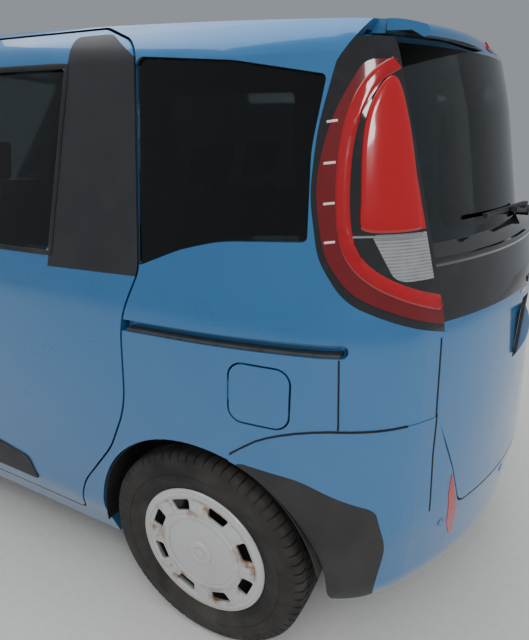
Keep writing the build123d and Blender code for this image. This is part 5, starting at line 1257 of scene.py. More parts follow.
@dataclass
class Seams:
    """Thin dark lines along joints that the CAD gives as hair-wide gaps, and seals round the windows."""

    bumper_joint: tuple = (
        (-1.511, 0.672), (-1.545, 0.700), (-1.590, 0.733), (-1.660, 0.763), (-1.735, 0.783), (-1.80, 0.7856),
        (-1.90, 0.7856),
    )
    panel_joint: tuple = ((-1.759, 0.957), (-1.768, 0.79))
    sliding_window: tuple = (
        (-0.220, 1.090), (-0.220, 1.560), (-0.977, 1.560), (-0.943, 1.103), (-0.220, 1.090),
    )
    door_window: tuple = ((-0.072, 1.088), (-0.072, 1.560), (0.385, 1.560), (0.795, 1.087), (-0.072, 1.088))

    def build(self, shop: Workshop) -> None:
        """Make the seams and window seals of both sides.

        Args:
            shop: The workshop with frame and finishes.
        """
        rear = Skin(shop, "side_frame_left", "rear_bumper")
        edge = [rear.from_behind(0.6135, 0.984 - 0.012 * k) for k in range(40)]
        for name, line, width, sink in (
            ("bumper_seam", self.raised(rear, smooth_line(self.bumper_joint, 1)), 0.0042, 0.004),
            ("quarter_seam", self.raised(rear, self.panel_joint), 0.0042, 0.004),
            ("tailgate_seam", edge, 0.0045, 0.003),
        ):
            shop.pair(name, MeshParts().strip(line, width, 0.001, sink), "joint_black")
        sliding_door = ("sliding_doors", "side_glass", "pillar_panels")
        front_door = ("front_door_left", "front_door_glass_left")
        for name, nodes, line, body in (
            ("sliding_door_seal", sliding_door, self.sliding_window, "body"),
            ("door_seal", front_door, self.door_window, "front_door"),
        ):
            edge = Skin(shop, *nodes).side_line(line, 0.03)
            shop.pair(name, MeshParts().strip(edge, 0.014, 0.0028, 0.004), "seal_rubber", body)

    def raised(self, skin: Skin, line: Line) -> list:
        """Points along a joint, taken from the panels at both sides of it so that none lies in the gap.

        Args:
            skin: The panels.
            line: The joint's corners, seen from the side.

        Returns:
            Points and normals.
        """
        points = []
        for x, z in even_points(line, 0.012):
            marks = [skin.from_left(x, z + shift) for shift in (-0.008, 0.008)]
            outer = max(mark[0].y for mark in marks)
            normal = (marks[0][1] + marks[1][1]).normalized()
            points.append((Vector((x, outer, z)), normal))
        return points


@dataclass
class Handles:
    """Door handles: a bowed grip on two feet over a dished recess plate."""

    length: float = 0.19
    grip: float = 0.022
    stand: float = 0.028
    places: tuple = (("front_door", 0.02, 0.985), ("sliding_doors", -0.29, 0.985))

    def build(self, shop: Workshop) -> None:
        """Make the handles of all four side doors.

        Args:
            shop: The workshop with frame and finishes.
        """
        for node, x, z in self.places:
            skin = Skin(shop, "front_door_left" if node == "front_door" else node)
            body = node if node == "front_door" else "body"
            shop.pair(f"{node}_handle", self.handle(skin, x, z), "sky_blue_paint", body)
            shop.pair(f"{node}_cup", self.cup(skin, x, z), "dull_black", body)

    def handle(self, skin: Skin, x: float, z: float) -> MeshParts:
        """The grip and its feet.

        Args:
            skin: The door.
            x: Middle of the handle.
            z: Its height.

        Returns:
            The form.
        """
        rows = []
        count = 18
        for i in range(count + 1):
            share = i / count
            reach = sin(pi * share) ** 0.28
            point, normal = skin.from_left(x - self.length / 2 + self.length * share, z)
            middle = point + normal * (self.stand * reach - 0.004)
            high = self.grip / 2 * (0.8 + 0.2 * reach)
            turns = [tau * k / 10 for k in range(10)]
            rows.append([middle + UP * high * cos(turn) + normal * 0.0062 * sin(turn) for turn in turns])
        return MeshParts().rows(rows)

    def cup(self, skin: Skin, x: float, z: float) -> MeshParts:
        """The dished plate behind the grip.

        Args:
            skin: The faces it stands on.
            x: Its middle.
            z: Its middle's height.

        Returns:
            The form.
        """
        turns = [tau * k / 24 for k in range(24)]
        edge = [(x + self.length * 0.33 * cos(turn), z + 0.024 * sin(turn)) for turn in turns]
        return skin.patch(edge, 0.0012, 0.004)


@dataclass
class TailTrim:
    """Trim of the tailgate with its spoiler, and the roof's antenna."""

    spoiler_half: float = 0.600
    spoiler_front: float = -1.757
    spoiler_rear: float = -1.892
    spoiler_lip: float = 1.611
    spoiler_foot: float = 1.6035
    antenna_foot: float = -1.60
    antenna_end: float = -1.735
    roof_limit: float = 1.6942
    plate_half: tuple = (0.268, 0.064)

    def build(self, shop: Workshop) -> None:
        """Make the tailgate's pieces and the antenna.

        Args:
            shop: The workshop with frame and finishes.
        """
        self.glass_foot(shop)
        self.spoiler(shop)
        self.antenna(shop)
        self.plate_frame(shop)
        self.stop_lamp(shop)
        self.grip(shop)

    def across(self, skin: Skin, z: float, half: float, count: int) -> list:
        """Points of the tail on a level line.

        Args:
            skin: The tail.
            z: Height of the line.
            half: Half its width.
            count: Number of steps.

        Returns:
            Points and normals.
        """
        return [skin.from_behind(half - 2 * half * i / count, z) for i in range(count + 1)]

    def glass_foot(self, shop: Workshop) -> None:
        """Close the step between glass and garnish with a gloss black strip.

        Args:
            shop: The workshop with frame and finishes.
        """
        glass, garnish = Skin(shop, "tailgate_glass"), Skin(shop, "tailgate_garnish")
        rows = []
        for i in range(33):
            y = 0.592 - 1.184 * i / 32
            upper, _ = glass.from_behind(y, 1.172)
            lower, _ = garnish.from_behind(y, 1.135)
            rows.append([foot + Vector((dx, 0, dz)) for foot, dx, dz in (
                (upper, -0.0015, 0.002), (upper, -0.004, -0.001), (lower, -0.0028, 0.006),
                (lower, -0.0015, 0), (lower, 0.006, 0.001), (upper, 0.006, 0),
            )])
        shop.place("glass_foot_strip", MeshParts().rows(rows), "gloss_black", "tailgate")

    def spoiler(self, shop: Workshop) -> None:
        """Roof spoiler with rounded corners and its two hinge tabs.

        Args:
            shop: The workshop with frame and finishes.
        """
        skin = Skin(shop, "tailgate_spoiler")
        front, foot = self.spoiler_front, self.spoiler_foot
        rows = []
        for i in range(61):
            y = self.spoiler_half * sin(pi * (i / 60 - 0.5))
            far = abs(y) / self.spoiler_half
            tip = self.spoiler_rear + 0.05 * far ** 3.5
            high = skin.from_above(-1.770, 0.997 * y)[0].z
            edge = self.spoiler_lip - 0.012 * far * far
            row = []
            for share in (k / 10 for k in range(11)):
                fall = share ** 1.7
                row.append((front + (tip + 0.006 - front) * share, y, high + (edge + 0.006 - high) * fall))
            row += [
                (tip + 0.001, y, edge + 0.001), (tip, y, edge - 0.006), (tip + 0.003, y, edge - 0.013),
                (tip + 0.010, y, edge - 0.0155), (front + 0.6 * (tip - front), y, foot - 0.006 * far),
                (front, y, foot - 0.004 * far),
            ]
            rows.append(row)
        parts = MeshParts().rows(rows)
        for side in (-0.47, 0.47):
            rows = []
            for k in range(5):
                x = front + 0.0005 + 0.0235 * k / 4
                top = skin.from_above(x, side)[0].z
                corners = ((-0.029, 0), (0.029, 0), (0.029, -0.0025), (-0.029, -0.0025))
                rows.append([(x, side + dy, top + dz) for dy, dz in corners])
            parts.rows(rows)
        piece = shop.place("spoiler_skin", parts, "sky_blue_paint", "tailgate")
        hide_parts("tailgate_spoiler")

    def antenna(self, shop: Workshop) -> None:
        """Short rod antenna on the roof's rear end, folded back.

        Args:
            shop: The workshop with frame and finishes.
        """
        skin = Skin(shop, "roof_panel")
        foot, _ = skin.from_above(self.antenna_foot, 0)
        tall = min(0.013, self.roof_limit - foot.z)
        dome = [(tall * cos(pi * k / 16), 0.021 * sin(pi * k / 16)) for k in range(9)] + [(-0.002, 0.021)]
        parts = MeshParts().lathe(foot, UP, AHEAD, dome, 32)
        start = Vector((foot.x - 0.012, 0, min(foot.z + 0.009, self.roof_limit - 0.0037)))
        end = skin.from_above(self.antenna_end, 0)[0] + UP * 0.007
        way = (end - start).normalized()
        length = (end - start).length
        rod = [(0.0, 0.0), (0.0, 0.0022)]
        for k in range(24):
            rod += [(length * (0.1 + 0.8 * k / 24), 0.0026), (length * (0.1 + 0.8 * (k + 0.5) / 24), 0.0031)]
        rod += [(length - 0.002, 0.0034), (length, 0.0022), (length, 0.0)]
        parts.lathe(start, way, LEFT, rod, 16)
        shop.place("roof_antenna", parts, "dull_black")

    def plate_frame(self, shop: Workshop) -> None:
        """Frame the blank plate and hold it with two screws.

        Args:
            shop: The workshop with frame and finishes.
        """
        low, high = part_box("number_plate")
        x = low.x
        wide, tall = self.plate_half
        middle_z = (low.z + high.z) / 2
        rows = []
        for y, z in ((wide, tall), (-wide, tall), (-wide, -tall), (wide, -tall)):
            inward = Vector((0, -1 if y > 0 else 1, -1 if z > 0 else 1))
            corner = Vector((x, y, middle_z + z))
            rows.append([corner + AHEAD * dx + inward * share for dx, share in (
                (0.003, 0), (-0.004, 0), (-0.005, 0.003), (-0.004, 0.009), (0.0006, 0.011),
            )])
        shop.place("plate_frame", MeshParts().rows(rows, ring=True), "dull_black", "tailgate", smooth=False)
        screws = MeshParts()
        profile = [
            (0.001, 0.0), (-0.0028, 0.0), (-0.0028, 0.0022), (-0.002, 0.0028), (-0.002, 0.0045),
            (-0.0012, 0.006), (0.001, 0.0062),
        ]
        for y in (-0.19, 0.19):
            screws.lathe((x, y, high.z - 0.014), AHEAD, UP, profile, 20)
        shop.place("plate_screws", screws, "plain_steel", "tailgate")

    def stop_lamp(self, shop: Workshop) -> None:
        """High stop lamp in the spoiler's rear edge."""
        line = self.across(Skin(shop, "tailgate_spoiler"), 1.612, 0.16, 16)
        shop.place("high_stop_lamp", MeshParts().strip(line, 0.018, 0.0015, 0.004), "brake_red", "tailgate")

    def grip(self, shop: Workshop) -> None:
        """Lip of the tailgate's grip, and the two small lamps over the plate.

        Args:
            shop: The workshop with frame and finishes.
        """
        skin = Skin(shop, "tailgate_garnish", "tailgate_panel")
        lip = MeshParts().strip(self.across(skin, 1.022, 0.16, 20), 0.016, 0.0035, 0.003)
        shop.place("tailgate_grip_lip", lip, "gloss_black", "tailgate")
        lights = MeshParts()
        for y in (-0.2, 0.2):
            line = [skin.from_behind(y + 0.03 * k / 4, 1.004) for k in range(-4, 5)]
            lights.strip(line, 0.012, 0.002, 0.003)
        shop.place("plate_lights", lights, "reverse_clear", "tailgate")


@dataclass
class BumperTrim:
    """Parking sensors of the rear bumper."""

    sensor_radius: float = 0.0115
    rear_places: tuple = ((0.563, 0.452), (0.24, 0.452), (-0.24, 0.452), (-0.563, 0.452))

    def build(self, shop: Workshop) -> None:
        """Make the sensors.

        Args:
            shop: The workshop with frame and finishes.
        """
        skin = Skin(shop, "rear_bumper")
        section = (
            (-0.002, 0.0), (0.0012, 0.0), (0.0014, 0.62), (0.0004, 0.72), (0.0004, 0.86), (0.0016, 0.92),
            (0.0012, 1.1), (-0.002, 1.12),
        )
        profile = [(along, self.sensor_radius * share) for along, share in section]
        for number, (y, z) in enumerate(self.rear_places, 1):
            point, normal = skin.from_behind(y, z)
            up = (UP - normal * normal.z).normalized()
            parts = MeshParts().lathe(point, normal, up, profile, 32)
            shop.place(f"parking_sensor_{number}", parts, "sky_blue_paint")


@dataclass
class Pad:
    """One stuffed pad: a crowned closed form with pulled-in sides, sewn channels and a piped seam."""

    middle: Point
    across: Point
    along: Point
    half: Point
    channels: tuple = ()
    cells: int = 26
    crown: float = 0.14
    channel_half: float = 0.055
    cross_channel: float = 0.62
    pull: float = 0.03

    def form(self) -> MeshParts:
        """The pad's closed form.

        Returns:
            The form.
        """
        parts = MeshParts()
        across, along = Vector(self.across).normalized(), Vector(self.along).normalized()
        out = across.cross(along)
        wide, long, thick = self.half
        count = self.cells
        sheets = []
        for side in (1, -1):
            rows = []
            for i in range(count + 1):
                row = []
                for j in range(count + 1):
                    a, b = self.bent(2 * i / count - 1), self.bent(2 * j / count - 1)
                    edge = (max(1 - abs(a) ** 6, 0) * max(1 - abs(b) ** 6, 0)) ** 0.32
                    crown = 1 - self.crown + self.crown * (1 - a * a) * (1 - b * b)
                    rise = thick * edge * crown
                    if side > 0:
                        for place, depth in self.channels:
                            rise -= depth * max(1 - ((a - place) / self.channel_half) ** 2, 0) * edge
                            cross = max(1 - ((b - self.cross_channel) / 0.05) ** 2, 0)
                            rise -= depth * cross * edge * 0.5
                    pull_a, pull_b = 1 - self.pull * (1 - b * b), 1 - self.pull * (1 - a * a)
                    row.append(
                        Vector(self.middle) + across * wide * a * pull_a + along * long * b * pull_b
                        + out * rise * side
                    )
                rows.append(row)
            sheets.append(rows)
        for rows in sheets:
            parts.rows(rows, closed_row=False, closed_ends=False)
        return parts

    def piping(self) -> MeshParts:
        """The cord sewn round the pad's edge.

        Returns:
            The form.
        """
        across, along = Vector(self.across).normalized(), Vector(self.along).normalized()
        out = across.cross(along)
        wide, long, _ = self.half
        rows = []
        around = [tau * k / 6 for k in range(6)]
        for turn in (tau * i / 72 for i in range(72)):
            a, b = rounded(cos(turn), sin(turn))
            middle = Vector(self.middle) + across * (wide - 0.003) * a + along * (long - 0.003) * b
            outward = (across * cos(turn) + along * sin(turn)).normalized()
            rows.append([
                middle + outward * 0.0032 * cos(angle) + out * 0.0032 * sin(angle) for angle in around
            ])
        return MeshParts().rows(rows, ring=True)

    @staticmethod
    def bent(share: float) -> float:
        """Grid place that crowds towards the edges."""
        return sin(share * pi / 2)



@dataclass
class SeatRow:
    """Seats of one row: pads, head rests and plinths that stand for the plain CAD solids."""

    node: str
    x: float
    places: tuple
    half_width: float
    floor: float
    plinth: float
    depth: float
    rake: float
    heads: tuple
    back_thickness: float = 0.11

    def build(self, shop: Workshop) -> None:
        """Make the row's pieces.

        Args:
            shop: The workshop with frame and finishes.
        """
        lean = Vector((-sin(radians(self.rake)), 0, cos(radians(self.rake))))
        hinge = Vector((self.x - self.depth / 2, 0, self.floor + self.plinth + 0.06))
        channels = ((-0.55, 0.012), (0.55, 0.012))
        front = Vector((cos(radians(self.rake)), 0, sin(radians(self.rake)))) * (self.back_thickness / 2)
        for number, y in enumerate(self.places, 1):
            wide, long = self.half_width - 0.004, self.depth / 2 - 0.004
            cushion = Pad((self.x, y, hinge.z + 0.005), (0, 1, 0), (-1, 0, 0), (wide, long, 0.062), channels)
            middle = hinge + lean * 0.28 + front
            thick = self.back_thickness / 2 - 0.004
            back = Pad((middle.x, y, middle.z), (0, 1, 0), lean, (wide, 0.276, thick), channels)
            for part, pad in (("cushion", cushion), ("back", back)):
                self.pad(shop, f"{self.node}_{part}_{number}", pad)
            self.plinth_piece(shop, number, y)
        for number, y in enumerate(self.heads, 1):
            middle = hinge + lean * 0.685 + front
            head = Pad((middle.x, y, middle.z), (0, 1, 0), lean, (0.12, 0.072, 0.042))
            self.pad(shop, f"{self.node}_head_{number}", head)
            posts = MeshParts()
            for side in (-0.035, 0.035):
                foot = hinge + lean * 0.545 + front + LEFT * (y + side)
                posts.lathe(foot, lean, LEFT, [(0, 0), (0, 0.006), (0.09, 0.006), (0.09, 0)], 14)
            shop.place(f"{self.node}_posts_{number}", posts, "chrome")

    def pad(self, shop: Workshop, name: str, pad: Pad) -> None:
        """Place one pad and its piping.

        Args:
            shop: The workshop.
            name: The pad's name.
            pad: Its sizes.
        """
        piece = shop.place(name, pad.form(), "seat_cloth")
        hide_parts(self.node)
        shop.place(f"{name}_piping", pad.piping(), "leather")

    def plinth_piece(self, shop: Workshop, number: int, y: float) -> None:
        """The plastic plinth under one cushion, with a rail slot line round its foot.

        Args:
            shop: The workshop.
            number: Which seat of the row.
            y: Its middle.
        """
        low, high = self.floor + 0.001, self.floor + self.plinth + 0.02
        wide, long = self.half_width - 0.034, self.depth / 2 - 0.062
        steps = (
            (low, 0.0), (low + 0.03, 0.0), (low + 0.034, 0.006), (low + 0.04, 0.006), (low + 0.044, 0.0),
            (high - 0.02, 0.012), (high, 0.02),
        )
        parts = MeshParts().stack(steps, 32, lambda a, b, z, inset: (
            self.x + (long - inset) * a, y + (wide - inset) * b, z,
        ))
        piece = shop.place(f"{self.node}_plinth_{number}", parts, "dash_plastic")
        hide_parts(self.node)


@dataclass
class Cabin:
    """Dashboard trim, lever, pedals, steering wheel pad, door trim and mats."""

    column_lean: float = radians(28)
    wheel_middle: Point = (0.56, 0.38, 1.0)

    def build(self, shop: Workshop) -> None:
        """Make the cabin's pieces.

        Args:
            shop: The workshop with frame and finishes.
        """
        self.dash = Skin(shop, "dashboard")
        self.screens(shop)
        self.vents(shop)
        self.levers(shop)
        self.wheel_pad(shop)
        self.door_trim(shop)
        self.mats(shop)

    def slab(self, skin: Skin, y: float, z: float, wide: float, high: float, thick: float) -> MeshParts:
        """A rounded slab that stands on a face which looks backward.

        Args:
            skin: What it stands on.
            y: Its middle.
            z: Its middle's height.
            wide: Half its width.
            high: Half its height.
            thick: Its thickness.

        Returns:
            The form.
        """
        steps = (
            (1.0, -0.004), (1.0, thick * 0.7), (0.985, thick * 0.93), (0.95, thick), (0.5, thick * 1.02),
            (0.1, thick * 1.02),
        )
        return MeshParts().stack(steps, 36, lambda a, b, share, lift: (
            skin.touch((0.0, y + wide * a * share, z + high * b * share), (1, 0, 0))[0] - AHEAD * lift
        ))

    def screens(self, shop: Workshop) -> None:
        """Instrument panel, middle screen, glove box lid and blank switch panel.

        Args:
            shop: The workshop with frame and finishes.
        """
        for name, y, z, wide, high, thick, finish in (
            ("instrument_hood", 0.38, 0.955, 0.17, 0.045, 0.028, "dash_plastic"),
            ("instrument_glass", 0.38, 0.955, 0.15, 0.034, 0.030, "dark_screen"),
            ("middle_screen", 0.0, 0.935, 0.125, 0.062, 0.014, "dark_screen"),
            ("middle_panel", 0.0, 0.80, 0.11, 0.05, 0.010, "gloss_black"),
            ("glove_box_lid", -0.40, 0.76, 0.19, 0.075, 0.008, "dash_plastic"),
            ("knee_panel", 0.38, 0.72, 0.19, 0.05, 0.008, "dash_plastic"),
            ("dash_band", 0.0, 0.865, 0.66, 0.012, 0.005, "charcoal_panel"),
        ):
            shop.place(name, self.slab(self.dash, y, z, wide, high, thick), finish)
        knobs = MeshParts()
        profile = [
            (0.0, 0.0), (-0.026, 0.0), (-0.027, 0.012), (-0.024, 0.0165), (-0.01, 0.0185), (0.0, 0.019),
        ]
        for y in (-0.06, 0.0, 0.06):
            knobs.lathe(self.dash.touch((0, y, 0.80), (1, 0, 0))[0], AHEAD, UP, profile, 28)
        shop.place("climate_knobs", knobs, "chrome")

    def vents(self, shop: Workshop) -> None:
        """Four air vents with slats.

        Args:
            shop: The workshop with frame and finishes.
        """
        section = ((-0.003, -0.0016), (-0.009, -0.0006), (-0.009, 0.0008), (-0.003, 0.0016))
        for number, y in enumerate((0.625, 0.175, -0.175, -0.625), 1):
            middle_z = 0.945 if abs(y) > 0.3 else 0.975
            parts = self.slab(self.dash, y, middle_z, 0.045, 0.03, 0.004)
            for k in range(-2, 3):
                point, _ = self.dash.touch((0, y, middle_z + k * 0.0095), (1, 0, 0))
                ends = (-0.037, 0.037)
                parts.rows([[point + Vector((dx, end, dz)) for dx, dz in section] for end in ends])
            shop.place(f"air_vent_{number}", parts, "dull_black", smooth=False)

    def levers(self, shop: Workshop) -> None:
        """Gear lever, pedals and column stalks.

        Args:
            shop: The workshop with frame and finishes.
        """
        point, _ = self.dash.touch((0, 0.03, 0.74), (1, 0, 0))
        profile = [
            (0.0, 0.0), (0.0, 0.024), (0.012, 0.022), (0.016, 0.008), (0.075, 0.0065), (0.08, 0.013),
            (0.098, 0.0185), (0.115, 0.017), (0.122, 0.008), (0.123, 0.0),
        ]
        lever = MeshParts().lathe(point, Vector((-0.8, 0, 0.6)), LEFT, profile, 24)
        shop.place("gear_lever", lever, "leather")
        stalks = MeshParts()
        profile = [
            (0, 0), (0, 0.006), (0.06, 0.006), (0.085, 0.009), (0.12, 0.0095), (0.128, 0.005), (0.129, 0),
        ]
        for way in (1, -1):
            foot = Vector((0.60, 0.38 + way * 0.02, 0.985))
            axis = Vector((-0.25, way * 0.95, 0.2)).normalized()
            stalks.lathe(foot, axis, axis.orthogonal().normalized(), profile, 16)
        shop.place("column_stalks", stalks, "dull_black")
        pedals = MeshParts()
        plate = (
            (-1, 0, 0), (-0.9, -0.007, -0.004), (0.9, -0.007, -0.004), (1, 0, 0), (0.9, 0.006, 0.004),
            (-0.9, 0.006, 0.004),
        )
        rod = ((-0.006, -0.006), (-0.006, 0.006), (0.006, 0.006), (0.006, -0.006))
        for y, wide in ((0.30, 0.028), (0.40, 0.045)):
            pedals.rows([
                [Vector((0.80 - 0.045 * t + dx, y + wide * a, 0.42 + 0.09 * t + dz)) for a, dx, dz in plate]
                for t in (k / 6 for k in range(7))
            ])
            pedals.rows([
                [Vector((0.775 + dx + 0.07 * t, y + dy, 0.47 + 0.22 * t)) for dx, dy in rod]
                for t in (0, 0.5, 1)
            ])
        shop.place("pedals", pedals, "dull_black")

    def wheel_pad(self, shop: Workshop) -> None:
        """Soft pad in the middle of the steering wheel.

        Args:
            shop: The workshop with frame and finishes.
        """
        lean = Vector((-cos(self.column_lean), 0, sin(self.column_lean)))
        up = Vector((sin(self.column_lean), 0, cos(self.column_lean)))
        middle = Vector(self.wheel_middle) + lean * 0.006
        steps = ((1.0, -0.002), (1.0, 0.014), (0.94, 0.022), (0.7, 0.027), (0.35, 0.03), (0.05, 0.0305))
        parts = MeshParts().stack(steps, 40, lambda a, b, share, lift: (
            middle + LEFT * 0.078 * a * share + up * 0.06 * b * share + lean * lift
        ))
        shop.place("steering_pad", parts, "leather", "steering_wheel")

    def door_trim(self, shop: Workshop) -> None:
        """Arm rests, speaker rings and trim cards inside the four side doors.

        Args:
            shop: The workshop with frame and finishes.
        """
        for node, x, z in (("front_door", 0.33, 0.80), ("sliding_doors", -0.56, 0.80)):
            skin = Skin(shop, "front_door_left" if node == "front_door" else node)
            body = node if node == "front_door" else "body"
            shop.pair(f"{node}_arm_rest", self.arm_rest(skin, x, z), "leather", body)
            shop.pair(f"{node}_speaker", self.speaker(skin, x - 0.16, z - 0.27), "dull_black", body)
            shop.pair(f"{node}_trim_card", self.card(skin, x, z), "dash_plastic", body)

    def inner(self, skin: Skin, x: float, z: float) -> Vector:
        """Point of the door's inner face."""
        return skin.touch((x, 0.3, z), (0, 1, 0))[0]

    def arm_rest(self, skin: Skin, x: float, z: float) -> MeshParts:
        """Arm rest that grows out of the door's inner face.

        Args:
            skin: The door.
            x: Its middle.
            z: Its top's height.

        Returns:
            The form.
        """
        rows = []
        for k in range(17):
            share = k / 8 - 1
            place = self.inner(skin, x + 0.2 * share, z)
            stand = 0.048 * (1 - abs(share) ** 4) ** 0.5
            rows.append([place + Vector((0, dy, dz)) for dy, dz in (
                (0.004, 0.0), (-stand * 0.7, 0.004), (-stand, -0.006), (-stand, -0.02),
                (-stand * 0.5, -0.045), (0.004, -0.075),
            )])
        return MeshParts().rows(rows)

    def speaker(self, skin: Skin, x: float, z: float) -> MeshParts:
        """Round speaker cover with raised rings.

        Args:
            skin: The faces it stands on.
            x: Its middle.
            z: Its middle's height.

        Returns:
            The form.
        """
        profile = [
            (0.006, 0.0), (-0.004, 0.0), (-0.006, 0.02), (-0.002, 0.024), (-0.006, 0.028), (-0.002, 0.05),
            (-0.006, 0.054), (-0.002, 0.058), (-0.006, 0.07), (-0.004, 0.078), (0.006, 0.08),
        ]
        return MeshParts().lathe(self.inner(skin, x, z), LEFT, UP, profile, 40)

    def card(self, skin: Skin, x: float, z: float) -> MeshParts:
        """Moulded card with a storage bin at the door's foot.

        Args:
            skin: The faces it stands on.
            x: Its middle.
            z: Its middle's height.

        Returns:
            The form.
        """
        rows = []
        for k in range(13):
            share = k / 6 - 1
            place = self.inner(skin, x + 0.26 * share, z - 0.36)
            stand = 0.035 * (1 - abs(share) ** 6) ** 0.5 + 0.003
            rows.append([place + Vector((0, dy, dz)) for dy, dz in (
                (0.004, 0.0), (-stand * 0.4, -0.01), (-stand * 0.9, 0.04), (-stand, 0.046), (-stand, 0.038),
                (-stand * 0.6, -0.03), (0.004, -0.05),
            )])
        return MeshParts().rows(rows)

    def mats(self, shop: Workshop) -> None:
        """Rubber mats with raised ribs in front of the seats.

        Args:
            shop: The workshop with frame and finishes.
        """
        floor = Skin(shop, "floor_pan")
        steps = ((1.0, 0.0), (1.0, 0.008), (0.96, 0.01), (0.92, 0.006), (0.5, 0.006), (0.05, 0.006))
        section = ((-0.004, 0.005), (-0.002, 0.0085), (0.002, 0.0085), (0.004, 0.005))
        places = ((0.60, 0.36, 0.13, 0.20), (0.60, -0.36, 0.13, 0.20), (-0.22, 0.0, 0.07, 0.5))
        for number, (x, y, long, wide) in enumerate(places, 1):
            z = floor.touch((x, y, 1.0), (0, 0, -1))[0].z
            parts = MeshParts().stack(steps, 32, lambda a, b, share, lift: (
                x + long * a * share, y + wide * b * share, z + lift,
            ))
            for k in range(int(wide * 2 / 0.03) - 2):
                rib_y = y - wide + 0.03 * (k + 1.5)
                ends = (x - long * 0.8, x + long * 0.8)
                parts.rows([[Vector((end, rib_y + dy, z + dz)) for dy, dz in section] for end in ends])
            shop.place(f"floor_mat_{number}", parts, "seal_rubber")


@dataclass
class FrontTrim:
    """Headlamp insides, grille bars, fog lamps, plate holder, door mirrors and windscreen trim."""

    def build(self, shop: Workshop) -> None:
        """Make the pieces at the front.

        Args:
            shop: The workshop with frame and finishes.
        """
        self.headlamps(shop)
        self.nose(shop)
        self.mirrors(shop)
        self.cowl(shop)
        self.screen_trim(shop)

    def screen_trim(self, shop: Workshop) -> None:
        """Black print round the windscreen, and the mirror that hangs inside it.

        Args:
            shop: The workshop with frame and finishes.
        """
        skin = Skin(shop, "windscreen")
        low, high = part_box("windscreen")
        slope = Vector((low.x - high.x, 0, high.z - low.z))

        def glass(y: float, share: float) -> Vector:
            """Point of the windscreen at a share of its slope."""
            start = Vector((high.x, y, low.z)) + slope * share + Vector((0.6, 0, 0.6))
            return skin.touch(start, (-1, 0, -1))[0]

        out = Vector((0.0011, 0, 0.0011))
        parts = MeshParts()
        for first, last, ends in ((0.035, 0.085, 0.60), (0.93, 0.972, 0.56)):
            rows = []
            for k in range(33):
                y = ends * (2 * k / 32 - 1)
                one, two = glass(y, first), glass(y, last)
                rows.append([one + out, two + out, two - out, one - out])
            parts.rows(rows)
        shop.place("windscreen_print", parts, "dull_black")
        middle = glass(0.0, 0.86) + Vector((-0.055, 0, -0.035))
        steps = (
            (0.7, -0.016), (0.93, -0.012), (1.0, 0.0), (0.97, 0.008), (0.94, 0.0085), (0.5, 0.0085),
            (0.05, 0.0085),
        )
        mirror = MeshParts().stack(steps, 40, lambda a, b, share, depth: (
            middle + Vector((-depth, 0.115 * a * share, 0.031 * b * share))
        ))
        stalk = [(0.0, 0.0), (0.0, 0.011), (0.006, 0.011), (0.009, 0.006), (0.05, 0.0055), (0.052, 0.0)]
        mirror.lathe(glass(0.0, 0.90) - out * 2, Vector((-0.75, 0, -0.66)).normalized(), LEFT, stalk, 20)
        shop.place("inner_mirror", mirror, "dull_black")

    def headlamps(self, shop: Workshop) -> None:
        """Dark housing, projector rings, two bars and an amber corner on each headlamp.

        Args:
            shop: The workshop with frame and finishes.
        """
        skin = Skin(shop, "headlamps")
        rows = []
        for y, foot, top in (
            (0.478, 0.735, 0.845), (0.52, 0.722, 0.862), (0.58, 0.724, 0.872), (0.64, 0.732, 0.876),
            (0.685, 0.750, 0.872),
        ):
            row = []
            for k in range(13):
                point, normal = skin.from_ahead(y, foot + (top - foot) * k / 12)
                row.append(point + normal * (0.0012 if 0 < k < 12 else -0.002))
            rows.append(row + [point - AHEAD * 0.012 for point in row[::-1]])
        shop.pair("headlamp_housing", MeshParts().rows(rows), "dull_black")
        rings = MeshParts()
        profile = [
            (-0.003, 0.0), (0.0022, 0.0), (0.0055, 0.014), (0.005, 0.023), (0.0018, 0.027), (0.0018, 0.031),
            (0.0055, 0.034), (0.0045, 0.039), (-0.003, 0.040),
        ]
        for y, z in ((0.56, 0.80), (0.65, 0.815)):
            point, normal = skin.from_ahead(y, z)
            rings.lathe(point, normal, (UP - normal * normal.z).normalized(), profile, 40)
        shop.pair("headlamp_rings", rings, "lamp_white")
        for name, z, finish, width in (
            ("light_bar", 0.862, "lamp_white", 0.010), ("lower_bar", 0.742, "chrome", 0.006),
        ):
            line = [skin.from_ahead(0.50 + 0.2 * k / 14, z) for k in range(15)]
            shop.pair(f"headlamp_{name}", MeshParts().strip(line, width, 0.003, 0.004), finish)
        line = [skin.from_left(1.74 + 0.05 * k / 8, 0.80) for k in range(9)]
        shop.pair("headlamp_amber", MeshParts().strip(line, 0.05, 0.002, 0.004), "amber_lens")

    def nose(self, shop: Workshop) -> None:
        """Grille bars, a bright strip, fog lamps and the empty plate holder.

        Args:
            shop: The workshop with frame and finishes.
        """
        skin = Skin(shop, "nose_panel", "front_bumper", "front_grille", "bonnet")
        for number, z in enumerate((0.735, 0.77, 0.805), 1):
            line = [skin.from_ahead(0.44 - 0.88 * k / 30, z) for k in range(31)]
            bar = MeshParts().strip(line, 0.012, 0.006, 0.004)
            shop.place(f"nose_bar_{number}", bar, "gloss_black" if number != 2 else "chrome")
        point, normal = skin.from_ahead(0.62, 0.40)
        profile = [
            (-0.003, 0.0), (0.002, 0.0), (0.004, 0.02), (0.001, 0.034), (0.001, 0.04), (0.006, 0.044),
            (0.005, 0.05), (-0.003, 0.052),
        ]
        up = (UP - normal * normal.z).normalized()
        shop.pair("fog_lamps", MeshParts().lathe(point, normal, up, profile, 40), "lamp_white")
        steps = (
            (1.0, -0.012), (1.0, 0.006), (0.985, 0.008), (0.96, 0.008), (0.955, 0.005), (0.5, 0.005),
            (0.05, 0.005),
        )
        holder = MeshParts().stack(steps, 40, lambda a, b, share, lift: (
            2.104 + lift, 0.262 * a * share, 0.385 + 0.058 * b * share,
        ))
        shop.place("front_plate_holder", holder, "dull_black")

